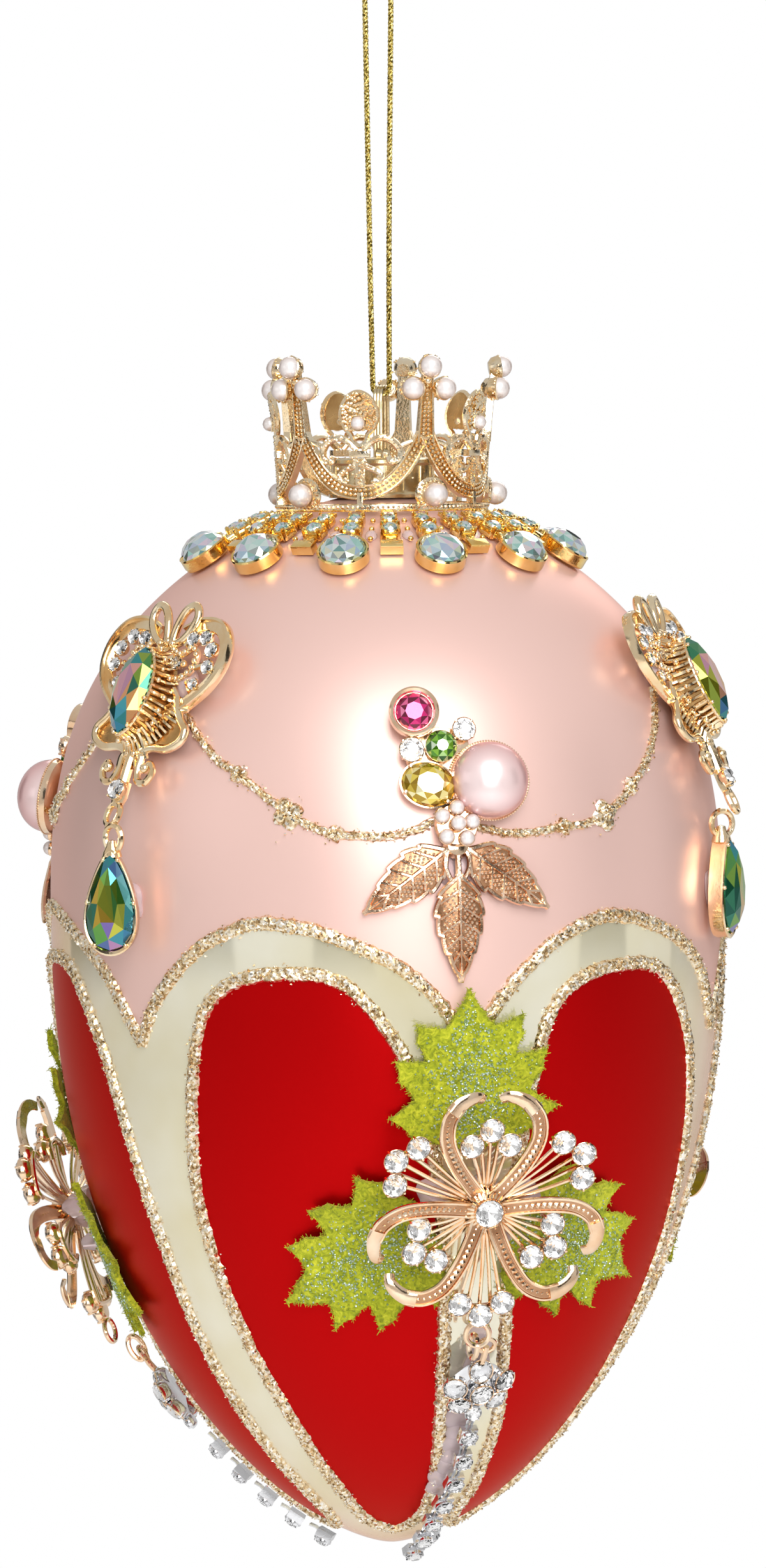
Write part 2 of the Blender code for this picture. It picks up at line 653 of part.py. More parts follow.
def pendant(number, angle):
    turn = radians(PENDANT_TURNS[number - 1])
    stand = PENDANT_BACK + PENDANT_WIDTH / 2 * sin(turn)
    here = seat(angle, PENDANT_HEIGHT, stand) @ Matrix.Rotation(turn, 4, "Y")
    back = slab(teardrop(PENDANT_LENGTH, PENDANT_WIDTH), 0, PENDANT_THICKNESS)
    top = PENDANT_LENGTH / 2
    ring = strip([(-0.8, top - 0.9), (-2.3, top + 1.6), (-1.2, top + 3.8), (1.2, top + 3.8), (2.3, top + 1.6),
                  (0.8, top - 0.9)], 1.0, 0.9, 1.9, closed=True)
    node(f"pendant_setting_{number}", [moved(back, here), moved(ring, here)], "pale_gold")
    drop = [(x, y - (PENDANT_WIDTH - TEARDROP_WIDTH) / 8) for x, y in teardrop(TEARDROP_LENGTH, TEARDROP_WIDTH)]
    floor = PENDANT_THICKNESS + FIT_GAP
    stone = slab(drop, floor, floor + TEARDROP_DOME, 0.6)
    node(f"pendant_stone_{number}", [moved(stone, here)], "many_colour_stone")


# The sprays

def leaf_outline(length, width):
    """A toothed leaf that starts at the origin and points down."""
    half = width / 2
    side = [(0.12, 0.02), (0.80, 0.20), (1.0, 0.38), (0.82, 0.50), (0.84, 0.64), (0.42, 0.82)]
    right = [(x * half, -y * length) for x, y in side]
    return right + [(0, -length)] + mirrored(reversed(right))


def spray(number, angle):
    height = SPRAY_HEIGHTS[number - 1]
    here = seat(angle, height)
    shells = []
    for length, turn in zip(LEAF_LENGTHS, LEAF_TURNS):
        leaf = slab(leaf_outline(length, LEAF_WIDTH), 0, LEAF_THICKNESS)
        swing = Matrix.Translation((*LEAF_START, 0)) @ Matrix.Rotation(radians(turn), 4, "Z")
        for vert in leaf.verts:
            spot = swing @ vert.co
            vert.co = wrapped(angle, height, spot.x, spot.y, LEAF_LIFT + vert.co.z)
        shells.append(leaf)
    flat = [
        slab(SPRAY_BASE, 0.7, 1.7),
        slab(oval(RUBY_SETTING, RUBY_SETTING, 8, RUBY_PLACE), 0.8, 3.2),
        slab(oval(*YELLOW_SETTING[::-1], 8, YELLOW_PLACE, YELLOW_TURN), 0.85, 2.6),
        slab(oval(GREEN_DIAMETER, GREEN_DIAMETER, 6, GREEN_PLACE), 0.9, 4.2, 0.6),
        slab(oval(BIG_PEARL_CUP, BIG_PEARL_CUP, 8, BIG_PEARL_PLACE), 0.95, 1.9),
    ]
    flat += [slab(oval(CHIP_DIAMETER, CHIP_DIAMETER, 6, place), 1.0, 3.4, 0.6) for place in CHIP_PLACES]
    petals = []
    for i in range(10):
        reach = 1.5 * SEED_PEARL if i % 2 == 0 else 1.1 * SEED_PEARL
        petals.append((SEED_PLACE[0] + reach * sin(pi * i / 5), SEED_PLACE[1] + reach * cos(pi * i / 5)))
    flat.append(slab(petals, 0.45, 3.3, 0.8))
    shells = [moved(shell, here) for shell in flat] + shells
    node(f"spray_mount_{number}", shells, "rose_gold")
    ruby = slab(oval(RUBY_DIAMETER, RUBY_DIAMETER, 8, RUBY_PLACE), 3.2 + FIT_GAP, 3.2 + FIT_GAP + STONE_DOME, 0.6)
    node(f"ruby_stone_{number}", [moved(ruby, here)], "ruby_stone")
    yellow = slab(oval(*YELLOW_SIZE[::-1], 8, YELLOW_PLACE, YELLOW_TURN), 2.6 + FIT_GAP, 2.6 + FIT_GAP + STONE_DOME,
                  0.6)
    node(f"yellow_stone_{number}", [moved(yellow, here)], "yellow_stone")
    radius = BIG_PEARL / 2
    floor = 1.9 + FIT_GAP
    rings = []
    for turn in (2, 38, 70):
        across, rise = 2 * radius * cos(radians(turn)), 0.92 * radius * sin(radians(turn))
        rings.append([(x, y, floor + rise) for x, y in oval(across, across, 9, BIG_PEARL_PLACE)])
    node(f"big_pearl_{number}", [moved(skin(rings), here)], "pink_pearl", smooth=True)


# Felt leaves, flower brooch, rosette and chain

def felt_leaf(number, angle, side):
    """A toothed leaf cut from felt, laid on the glass, its two halves meeting on its middle line."""
    swing = Matrix.Rotation(radians(FELT_TURNS[side]), 4, "Z")
    rings = []
    for half, along in FELT_SIDE:
        ring = []
        for x, high in ((-half, 0), (0, 0), (half, 0), (half, FELT_THICKNESS), (0, FELT_THICKNESS),
                        (-half, FELT_THICKNESS)):
            spot = swing @ Vector((x, along, 0))
            ring.append(wrapped(angle, FLOWER_HEIGHTS[number - 1], spot.x, spot.y, FELT_LIFT + high))
        rings.append(ring)
    node(f"felt_leaf_{side}_{number}", [skin(rings)], "lime_felt")


def flower(number, angle):
    """Three pairs of curled arms round a centre stone, with six clusters of three stones on wires."""
    here = seat(angle, FLOWER_HEIGHTS[number - 1], FLOWER_LIFT)
    shells = [slab(oval(FLOWER_CENTRE, FLOWER_CENTRE, 8), -0.6, 3.6)]
    rise = [FAN_TOP + share * ARM_RISE for share in ARM_PROFILE]
    for turn in (0, 120, 240):
        for mirror, lap in ((list, 0.0), (mirrored, 0.07)):
            under = [height + lap for height in rise]
            over = [height + ARM_THICKNESS for height in under]
            shell = strip(mirror(ARM_PATH), ARM_WIDTH - lap, under, over)
            shells.append(moved(shell, Matrix.Rotation(radians(turn), 4, "Z")))
        for extra, reach, lap in ((0, INNER_CLUSTER, 0.0), (60, OUTER_CLUSTER, 0.1)):
            wide = CLUSTER_SPREAD + CLUSTER_STONE / 2
            fan = [(-0.8, 1.2), (0.8, 1.2), (wide, reach - 1.6), (wide - 0.4, reach + 1.2),
                   (0, reach + 3.6), (0.4 - wide, reach + 1.2), (-wide, reach - 1.6)]
            cluster = slab(fan, 0.3 - lap, FAN_TOP - lap, 0.94)
            shells.append(moved(cluster, Matrix.Rotation(radians(turn + extra), 4, "Z")))
    node(f"flower_brooch_{number}", [moved(shell, here) for shell in shells], "rose_gold")


def rosette_height(number):
    return FLOWER_HEIGHTS[number - 1] - ROSETTE_DROP


def rosette(number, angle):
    here = seat(angle + ROSETTE_ANGLE, rosette_height(number), ROSETTE_LIFT)
    petals = []
    for i in range(12):
        turn = pi * i / 6
        reach = ROSETTE_REACH[i % 2]
        petals.append((reach * sin(turn), reach * cos(turn) - 1.0))
    body = slab(petals, 0, ROSETTE_THICKNESS, 0.85)
    start, end, width = ROSETTE_LINK
    link = strip([(0, start), (0, end)], width, 0.3, 1.2)
    node(f"rosette_{number}", [moved(body, here), moved(link, here)], "silver")


def chain(number, angle):
    """Square cups on a strap, following the egg down to its point."""
    height = rosette_height(number) - CHAIN_GAP
    cups = []
    while len(cups) < CHAIN_CUPS and height > POINT_CLEAR - EGG_BOTTOM:
        cups.append(seat(angle + CHAIN_TURN, height, CHAIN_LIFT))
        height = walk(height, -CHAIN_PITCH)
    half = CHAIN_CUP / 6
    corners = [Vector(corner) for corner in ((-half, 0, 0.2), (half, 0, 0.2), (half, 0, 0.9), (-half, 0, 0.9))]
    shells = [skin([[here @ corner for corner in corners] for here in cups])]
    half = CHAIN_CUP / 2
    for here in cups:
        cup = slab([(-half, -half), (half, -half), (half, half), (-half, half)], 0.0, CHAIN_CUP_HEIGHT, 0.86)
        shells.append(moved(cup, here))
    node(f"rhinestone_chain_{number}", shells, "silver")


def main():
    clear_scene()
    glass_egg()
    cap()
    hanger()
    cord()
    crown()
    collar()
    collar_stones()
    for number, angle in enumerate(JEWEL_ANGLES, 1):
        jewel_frame(number, angle)
        pendant(number, angle)
    for number, angle in enumerate(SPRAY_ANGLES, 1):
        spray(number, angle)
    for number, angle in enumerate(FLOWER_ANGLES, 1):
        for side in FELT_TURNS:
            felt_leaf(number, angle, side)
        flower(number, angle)
        rosette(number, angle)
        chain(number, angle)


main()
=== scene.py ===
# %% [markdown]
# # A jewelled glass egg
#
# This ornament is a blown glass egg, about as tall as a hand, that hangs from a cord. It is lacquered in
# satin pink, with six red petals on a mirror-gilt ground below, and every edge is drawn with glitter.
# A cast crown stands on its cap, a collar of stones lies on its shoulder, and jewels are glued round it.
# The solids of the construction model are the fixed frame here. Each visible piece is modelled finer in
# the same place, and then stands for the plain solids under it.

# %% Load the frame
import json
from math import atan2, cos, degrees, exp, hypot, pi, radians, sin

import bmesh
import bpy
import numpy as np
from mathutils import Matrix, Vector, geometry, noise

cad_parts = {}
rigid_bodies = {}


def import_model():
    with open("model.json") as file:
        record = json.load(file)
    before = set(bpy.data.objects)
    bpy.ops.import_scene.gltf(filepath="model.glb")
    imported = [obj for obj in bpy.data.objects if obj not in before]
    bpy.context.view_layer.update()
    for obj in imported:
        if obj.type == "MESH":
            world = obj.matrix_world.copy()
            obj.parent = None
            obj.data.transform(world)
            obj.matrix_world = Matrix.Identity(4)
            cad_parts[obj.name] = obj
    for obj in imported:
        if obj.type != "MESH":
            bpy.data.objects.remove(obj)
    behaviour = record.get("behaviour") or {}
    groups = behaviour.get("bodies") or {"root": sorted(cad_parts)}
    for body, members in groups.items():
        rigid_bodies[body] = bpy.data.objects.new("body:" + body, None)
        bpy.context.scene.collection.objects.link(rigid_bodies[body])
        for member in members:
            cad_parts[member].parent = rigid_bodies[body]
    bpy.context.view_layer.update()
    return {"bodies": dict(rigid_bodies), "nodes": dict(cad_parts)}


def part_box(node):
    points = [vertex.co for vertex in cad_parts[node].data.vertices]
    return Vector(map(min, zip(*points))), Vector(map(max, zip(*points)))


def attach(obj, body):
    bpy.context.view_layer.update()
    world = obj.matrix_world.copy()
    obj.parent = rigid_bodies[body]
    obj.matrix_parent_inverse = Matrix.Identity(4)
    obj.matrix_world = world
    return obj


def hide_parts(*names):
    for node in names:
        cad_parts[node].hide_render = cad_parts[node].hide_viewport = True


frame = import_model()
ROOT = next(iter(frame["bodies"]))
print("frame:", len(frame["nodes"]), "nodes on", ROOT)

# %% [markdown]
# ## The camera first
#
# The photograph was taken from about a metre, level with the crown, with a long lens. That distance
# decides how much of the collar's top and of the egg's underside shows, so it is set before anything else.

# %% Camera
MM = 0.001
CAMERA_DISTANCE = 1.1124      # metres from the egg's axis
CAMERA_HEIGHT = -0.080        # level with the crown, below the hook
CAMERA_TURN = -14.3           # degrees round from the front
CAMERA_TILT = 3.11            # looking down
CAMERA_ROLL = -0.55
CAMERA_SHIFT = -0.0012
CAMERA_LENS = 151.0

side = radians(CAMERA_TURN)
camera = bpy.data.objects.new("camera", bpy.data.cameras.new("camera"))
bpy.context.collection.objects.link(camera)
camera.data.lens = CAMERA_LENS
camera.data.shift_x = CAMERA_SHIFT
camera.location = (CAMERA_DISTANCE * sin(side), -CAMERA_DISTANCE * cos(side), CAMERA_HEIGHT)
aim = Matrix.Rotation(side, 4, "Z") @ Matrix.Rotation(radians(90 - CAMERA_TILT), 4, "X")
camera.rotation_euler = (aim @ Matrix.Rotation(radians(CAMERA_ROLL), 4, "Z")).to_euler()
bpy.context.scene.camera = camera
print("camera at", [round(value, 3) for value in camera.location])

# %% [markdown]
# ## A bright studio
#
# Gold and mirror lacquer only look like metal when they have something to mirror. The room is nearly
# white, with a few dark cards in it that draw the dark streaks on the gilding, and one big soft box
# above the camera lights the pink lacquer from the top.

# %% Studio: room, soft boxes and floor
ROOM_WHITE = 0.56
ROOM_DARK = 0.03
FLOOR_DROP = 0.62             # metres below the hook
FLOOR_RADIUS = 1.7
CARDS = ((0.03, 0.035), (0.17, 0.03), (0.30, 0.02), (0.43, 0.03), (0.56, 0.035), (0.70, 0.025), (0.86, 0.035))
LIGHTS = (                    # name, place round the egg's middle, width, power
    ("key", (-0.03, -0.97, 0.66), 0.70, 8.4),
    ("low_front", (-0.14, -1.15, 0.26), 0.55, 4.6),
    ("left_fill", (-1.10, -0.25, 0.25), 0.5, 0.7),
    ("back_fill", (0.5, 1.0, 0.7), 0.8, 3.0),
)


def room():
    world = bpy.data.worlds.new("room")
    bpy.context.scene.world = world
    world.use_nodes = True
    nodes, links = world.node_tree.nodes, world.node_tree.links
    nodes.clear()
    way = nodes.new("ShaderNodeTexCoord")
    split = nodes.new("ShaderNodeSeparateXYZ")
    links.new(way.outputs["Generated"], split.inputs[0])
    around = nodes.new("ShaderNodeTexGradient")
    around.gradient_type = "RADIAL"
    links.new(way.outputs["Generated"], around.inputs["Vector"])
    cards = nodes.new("ShaderNodeValToRGB")
    cards.color_ramp.elements[0].color = (1, 1, 1, 1)
    cards.color_ramp.elements[1].color = (1, 1, 1, 1)
    for middle, half in CARDS:
        for place, grey in ((middle - half, 1), (middle - half * 0.8, 0), (middle + half * 0.8, 0), (middle + half, 1)):
            stop = cards.color_ramp.elements.new(min(max(place, 0.001), 0.999))
            stop.color = (grey, grey, grey, 1)
    links.new(around.outputs["Fac"], cards.inputs["Fac"])
    band = nodes.new("ShaderNodeValToRGB")
    for place, grey in ((0.43, 1), (0.47, 0.0), (0.70, 0.0), (0.76, 1)):
        stop = band.color_ramp.elements.new(place)
        stop.color = (grey, grey, grey, 1)
    band.color_ramp.elements[0].color = (1, 1, 1, 1)
    height = nodes.new("ShaderNodeMapRange")
    height.inputs["From Min"].default_value = -1.0
    links.new(split.outputs["Z"], height.inputs["Value"])
    links.new(height.outputs["Result"], band.inputs["Fac"])
    lighter = nodes.new("ShaderNodeMix")
    lighter.data_type = "RGBA"
    lighter.blend_type = "LIGHTEN"
    lighter.inputs["Factor"].default_value = 1.0
    links.new(cards.outputs["Color"], lighter.inputs["A"])
    links.new(band.outputs["Color"], lighter.inputs["B"])
    grey = nodes.new("ShaderNodeMix")
    grey.data_type = "FLOAT"
    grey.inputs["A"].default_value = ROOM_DARK
    grey.inputs["B"].default_value = ROOM_WHITE
    links.new(lighter.outputs["Result"], grey.inputs["Factor"])
    seen, lit = nodes.new("ShaderNodeBackground"), nodes.new("ShaderNodeBackground")
    links.new(grey.outputs["Result"], lit.inputs["Strength"])
    which = nodes.new("ShaderNodeMixShader")
    path = nodes.new("ShaderNodeLightPath")
    links.new(path.outputs["Is Camera Ray"], which.inputs["Fac"])
    links.new(lit.outputs[0], which.inputs[1])
    links.new(seen.outputs[0], which.inputs[2])
    out = nodes.new("ShaderNodeOutputWorld")
    links.new(which.outputs[0], out.inputs["Surface"])
    seen.inputs["Color"].default_value = (1, 1, 1, 1)
    seen.inputs["Strength"].default_value = 1.0
    lit.inputs["Color"].default_value = (1.0, 0.985, 0.97, 1)


def soft_box(name, place, width, power):
    light = bpy.data.lights.new(name, "AREA")
    light.size = width
    light.energy = power
    box = bpy.data.objects.new(name, light)
    box.location = Vector(place) + Vector((0, 0, -0.16))
    box.rotation_euler = Vector(place).to_track_quat("Z", "Y").to_euler()
    bpy.context.collection.objects.link(box)


def floor():
    paper = bmesh.new()
    bmesh.ops.create_circle(paper, cap_ends=True, segments=64, radius=FLOOR_RADIUS)
    bmesh.ops.translate(paper, verts=paper.verts, vec=(0, 0, -FLOOR_DROP))
    data = bpy.data.meshes.new("floor")
    paper.to_mesh(data)
    paper.free()
    white = bpy.data.materials.new("white_paper")
    white.use_nodes = True
    shader = white.node_tree.nodes["Principled BSDF"]
    shader.inputs["Base Color"].default_value = (0.93, 0.93, 0.93, 1)
    shader.inputs["Roughness"].default_value = 0.9
    data.materials.append(white)
    spread = bpy.data.objects.new("floor", data)
    bpy.context.collection.objects.link(spread)


bpy.context.scene.view_settings.view_transform = "Standard"
room()
for entry in LIGHTS:
    soft_box(*entry)
floor()
print("studio:", len(LIGHTS), "soft boxes,", len(CARDS), "dark cards")
# %% [markdown]
# ## The egg's surface as a workbench
#
# Nearly everything is glued to the glass, so it pays to have one frame for it: x runs to the right round
# the egg, y up along it, z straight out. A rigid casting takes one such frame, a seat. A limp thing, such
# as felt or a leaf of thin metal, is bent onto the glass point by point.

# %% The egg's profile, from the frame's egg
egg_low, egg_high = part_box("glass_egg")
EGG_POWERS = ((2.745, 0.653), (2.198, 0.648))      # above and below the widest circle
EGG_SHARE = 71.6 / 178.9                           # of its height, the part above the widest circle
EGG_RADIUS = egg_high[0] / MM
EGG_TALL = (egg_high[2] - egg_low[2]) / MM
EGG_TOP = EGG_TALL * EGG_SHARE
EGG_BOTTOM = EGG_TALL - EGG_TOP
EQUATOR = egg_high[2] / MM - EGG_TOP               # height of the widest circle, from the hook


def radius_at(height):
    """Radius of the egg at heights above its widest circle, in millimetres."""
    height = np.asarray(height, dtype=float)
    share = np.clip(np.where(height > 0, height / EGG_TOP, -height / EGG_BOTTOM), 0, 1)
    inner = np.where(height > 0, EGG_POWERS[0][0], EGG_POWERS[1][0])
    outer = np.where(height > 0, EGG_POWERS[0][1], EGG_POWERS[1][1])
    return EGG_RADIUS * (1 - share ** inner) ** outer


# Heights packed close towards the ends, where the surface turns over
RISE = np.sin(np.linspace(-pi / 2, pi / 2, 4001))
HEIGHTS = np.where(RISE > 0, RISE * EGG_TOP, RISE * EGG_BOTTOM)
RADII = radius_at(HEIGHTS)
REACHES = np.concatenate([[0], np.cumsum(np.hypot(np.diff(HEIGHTS), np.diff(RADII)))])
LEANS = np.arctan2(-np.gradient(RADII), np.gradient(HEIGHTS))


def surface(turn, height, lift=0.0):
    """Points on the glass at angles in radians, with the ways out of it."""
    lean = np.interp(height, HEIGHTS, LEANS)
    radius = np.interp(height, HEIGHTS, RADII)
    out = np.stack([np.cos(lean) * np.sin(turn), -np.cos(lean) * np.cos(turn), np.sin(lean)], axis=-1)
    base = np.stack([radius * np.sin(turn), -radius * np.cos(turn), height + 0 * turn], axis=-1)
    return base + out * np.asarray(lift)[..., None], out


def seat(angle, height, lift=0.0, turn=0.0):
    """A frame on the glass: x right, y up, z out, turned about z by some degrees."""
    place, out = surface(np.radians(angle), np.asarray(float(height)), lift)
    out = Vector(out)
    right = Vector((cos(radians(angle)), sin(radians(angle)), 0.0))
    made = Matrix((right, out.cross(right), out)).transposed().to_4x4()
    made.translation = Vector(place)
    return made @ Matrix.Rotation(radians(turn), 4, "Z")


def on_glass(angle, height):
    """Bends points onto the glass round a seat."""
    start = np.interp(height, HEIGHTS, REACHES)

    def bend(points):
        there = np.interp(start + points[:, 1], REACHES, HEIGHTS)
        turn = radians(angle) + points[:, 0] / np.maximum(np.interp(there, HEIGHTS, RADII), 1.0)
        return surface(turn, there, points[:, 2])[0]
    return bend


def height_of(radius):
    """Height on the shoulder where the egg has this radius."""
    inner, outer = EGG_POWERS[0]
    return EGG_TOP * (1 - (radius / EGG_RADIUS) ** (1 / outer)) ** (1 / inner)


print(f"egg: {2 * EGG_RADIUS:.1f} mm across, {EGG_TALL:.1f} mm tall, widest {-EQUATOR:.1f} mm below the hook")

# %% [markdown]
# ## Shapes and trays
#
# A jeweller lays out the same cup, bead or crystal dozens of times. Here a shape is modelled once with
# bmesh operators, and kept as arrays of numbers. A tray collects shapes where they belong, and becomes
# one finished mesh. Copying arrays is much quicker than running an operator for every bead.

# %% Shapes and trays
class Shape:
    """A small mesh as arrays, in millimetres."""

    def __init__(self, made, smooth=True):
        made.verts.index_update()
        self.points = np.array([vert.co[:] for vert in made.verts])
        self.corners = np.array([vert.index for face in made.faces for vert in face.verts], dtype=int)
        self.sizes = np.array([len(face.verts) for face in made.faces], dtype=int)
        self.smooth = smooth
        made.free()


class Tray:
    """Shapes set down in millimetres above the widest circle, which together make one piece."""

    def __init__(self, name):
        self.name = name
        self.points, self.corners, self.sizes, self.smooth, self.look, self.tone = [], [], [], [], [], []
        self.count = 0

    def put(self, shape, *places, look=0, tone=0.5):
        """Set a shape down through a chain of places: matrices or bends, the first one used first."""
        points, corners, sizes = shape.points, shape.corners, shape.sizes
        for place in places:
            if callable(place):
                points = place(points)
                continue
            matrix = np.array(place)
            points = points @ matrix[:3, :3].T + matrix[:3, 3]
            if np.linalg.det(matrix[:3, :3]) < 0:
                corners, sizes = corners[::-1], sizes[::-1]
        self.points.append(points)
        self.corners.append(corners + self.count)
        self.sizes.append(sizes)
        self.smooth.append(np.full(len(sizes), shape.smooth))
        self.look.append(np.full(len(sizes), look))
        self.tone.append(np.full(len(sizes), tone) if np.isscalar(tone) else tone)
        self.count += len(points)

    def scatter(self, shape, frames, look=0, tones=None):
        """Many copies at once, from an array of 4 by 4 frames."""
        many = len(frames)
        points = np.einsum("nij,pj->npi", frames[:, :3, :3], shape.points) + frames[:, None, :3, 3]
        step = len(shape.points)
        corners = shape.corners[None, :] + step * np.arange(many)[:, None]
        self.points.append(points.reshape(-1, 3))
        self.corners.append(corners.ravel() + self.count)
        self.sizes.append(np.tile(shape.sizes, many))
        self.smooth.append(np.full(many * len(shape.sizes), shape.smooth))
        self.look.append(np.full(many * len(shape.sizes), look))
        tones = np.full(many, 0.5) if tones is None else tones
        self.tone.append(np.repeat(tones, len(shape.sizes)))
        self.count += step * many

    def make(self, looks, slot, *nodes, crease=38.0):
        """The finished piece: its looks are materials, and it stands for the named nodes."""
        points = (np.concatenate(self.points) + (0, 0, EQUATOR)) * MM
        sizes = np.concatenate(self.sizes)
        data = bpy.data.meshes.new(self.name)
        data.vertices.add(len(points))
        data.vertices.foreach_set("co", points.ravel())
        corners = np.concatenate(self.corners)
        data.loops.add(len(corners))
        data.loops.foreach_set("vertex_index", corners)
        data.polygons.add(len(sizes))
        data.polygons.foreach_set("loop_start", np.concatenate([[0], np.cumsum(sizes)[:-1]]))
        data.polygons.foreach_set("use_smooth", np.concatenate(self.smooth))
        data.polygons.foreach_set("material_index", np.concatenate(self.look))
        data.update(calc_edges=True)
        data.attributes.new("tone", "FLOAT", "FACE").data.foreach_set("value", np.concatenate(self.tone))
        smooth = np.concatenate(self.smooth)
        data.set_sharp_from_angle(angle=radians(crease))
        data.polygons.foreach_set("use_smooth", smooth)
        for look in looks:
            data.materials.append(look)
        piece = bpy.data.objects.new(self.name, data)
        bpy.context.collection.objects.link(piece)
        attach(piece, ROOT)
        if nodes:
            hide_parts(*nodes)
        triangles = int((sizes - 2).sum())
        print(f"{self.name}: {triangles} triangles")
        return piece


# %% Shapes made with operators
def turned(profile, sides, smooth=True):
    """A profile of (radius, height) spun round z. It closes on the axis, or into a ring."""
    made = bmesh.new()
    rim = [made.verts.new((radius, 0, height)) for radius, height in profile]
    edges = [made.edges.new(pair) for pair in zip(rim, rim[1:])]
    if profile[0][0] > 0 or profile[-1][0] > 0:
        edges.append(made.edges.new((rim[-1], rim[0])))
    bmesh.ops.spin(made, geom=rim + edges, axis=(0, 0, 1), cent=(0, 0, 0), angle=2 * pi, steps=sides, use_merge=True)
    bmesh.ops.remove_doubles(made, verts=made.verts, dist=1e-4)
    bmesh.ops.recalc_face_normals(made, faces=made.faces)
    return Shape(made, smooth)


def ball(diameter, fine=2, squash=1.0):
    made = bmesh.new()
    bmesh.ops.create_icosphere(made, subdivisions=fine, radius=diameter / 2)
    bmesh.ops.scale(made, verts=made.verts, vec=(1, 1, squash))
    return Shape(made)


def plate(outline, low, high, soft=0.0, shrink=1.0, steps=2):
    """A flat outline raised from low to high, with its top edge rounded."""
    made = bmesh.new()
    base = made.faces.new([made.verts.new((x, y, low)) for x, y in outline])
    grown = bmesh.ops.extrude_face_region(made, geom=[base])["geom"]
    top = [item for item in grown if isinstance(item, bmesh.types.BMVert)]
    bmesh.ops.translate(made, verts=top, vec=(0, 0, high - low))
    if shrink != 1.0:
        middle = sum((vert.co for vert in top), Vector()) / len(top)
        bmesh.ops.scale(made, verts=top, vec=(shrink, shrink, 1), space=Matrix.Translation(-middle))
    if soft:
        edges = [item for item in grown if isinstance(item, bmesh.types.BMEdge)]
        bmesh.ops.bevel(made, geom=edges, offset=soft, segments=steps, profile=0.5, affect="EDGES", material=-1)
    bmesh.ops.recalc_face_normals(made, faces=made.faces)
    return Shape(made)


def loft(rings, closed=False, smooth=True):
    """A closed skin through rings with the same number of points."""
    made = bmesh.new()
    rows = [[made.verts.new(point) for point in ring] for ring in rings]
    pairs = list(zip(rows, rows[1:]))
    if closed:
        pairs.append((rows[-1], rows[0]))
    else:
        made.faces.new(rows[0])
        made.faces.new(rows[-1])
    count = len(rows[0])
    for one, two in pairs:
        for i in range(count):
            j = (i + 1) % count
            made.faces.new((one[i], one[j], two[j], two[i]))
    bmesh.ops.recalc_face_normals(made, faces=made.faces)
    return Shape(made, smooth)


def round_section(diameter, sides=8):
    return [(diameter / 2 * cos(2 * pi * i / sides), diameter / 2 * sin(2 * pi * i / sides)) for i in range(sides)]


def sweep(path, section, closed=False, up=(0, 0, 1), sizes=None, smooth=True):
    """A section of (across, out) points carried along a path; sizes scale it from point to point."""
    path = [Vector(point) for point in path]
    up = Vector(up)
    count = len(path)
    rings = []
    for i, here in enumerate(path):
        before = path[(i - 1) % count] if closed or i > 0 else here
        after = path[(i + 1) % count] if closed or i < count - 1 else here
        along = (after - before).normalized()
        across = along.cross(up).normalized()
        out = across.cross(along)
        size = 1.0 if sizes is None else sizes[i]
        rings.append([here + (across * x + out * y) * size for x, y in section])
    return loft(rings, closed, smooth)


def wire(path, thickness, closed=False, sides=8, up=(0, 0, 1), sizes=None):
    return sweep(path, round_section(thickness, sides), closed, up, sizes)


def curve(points, steps=6, closed=False):
    """More points on a smooth curve through a few."""
    points = [Vector(point) for point in points]
    if closed:
        points = [points[-1], *points, points[0], points[1]]
    else:
        points = [2 * points[0] - points[1], *points, 2 * points[-1] - points[-2]]
    made = []
    for a, b, c, d in zip(points, points[1:], points[2:], points[3:]):
        for i in range(steps):
            t = i / steps
            made.append(0.5 * (2 * b + (c - a) * t + (2 * a - 5 * b + 4 * c - d) * t ** 2
                               + (3 * b - a - 3 * c + d) * t ** 3))
    if not closed:
        made.append(points[-2])
    return made


def spaced(path, pitch):
    """Points a fixed pitch apart along a path."""
    points = np.array([tuple(point) for point in path], dtype=float)
    run = np.concatenate([[0], np.cumsum(np.linalg.norm(np.diff(points, axis=0), axis=1))])
    count = max(2, round(run[-1] / pitch) + 1)
    where = np.linspace(0, run[-1], count)
    return np.stack([np.interp(where, run, points[:, i]) for i in range(points.shape[1])], axis=1)


def cut_stone(outline, rings):
    """A faceted stone: rings of (share of the outline, height, corners, shift) under one tight skin."""
    made = bmesh.new()
    for share, height, corners, shift in rings:
        for i in range(corners):
            x, y = outline((i + shift) / corners)
            made.verts.new((x * share, y * share, height))
    bmesh.ops.convex_hull(made, input=made.verts)
    loose = [vert for vert in made.verts if not vert.link_faces]
    bmesh.ops.delete(made, geom=loose, context="VERTS")
    bmesh.ops.recalc_face_normals(made, faces=made.faces)
    return Shape(made, smooth=False)


def round_outline(width, length=None):
    length = width if length is None else length
    return lambda share: (width / 2 * sin(2 * pi * share), length / 2 * cos(2 * pi * share))


def shifted(x, y, z=0.0, turn=0.0, tip=0.0):
    """A place: turned about z, then tipped about x."""
    return Matrix.Translation((x, y, z)) @ Matrix.Rotation(radians(turn), 4, "Z") @ Matrix.Rotation(radians(tip), 4, "X")


MIRROR = Matrix.Scale(-1, 4, (1, 0, 0))


def mirrored(points):
    return [(-point[0], *point[1:]) for point in points]


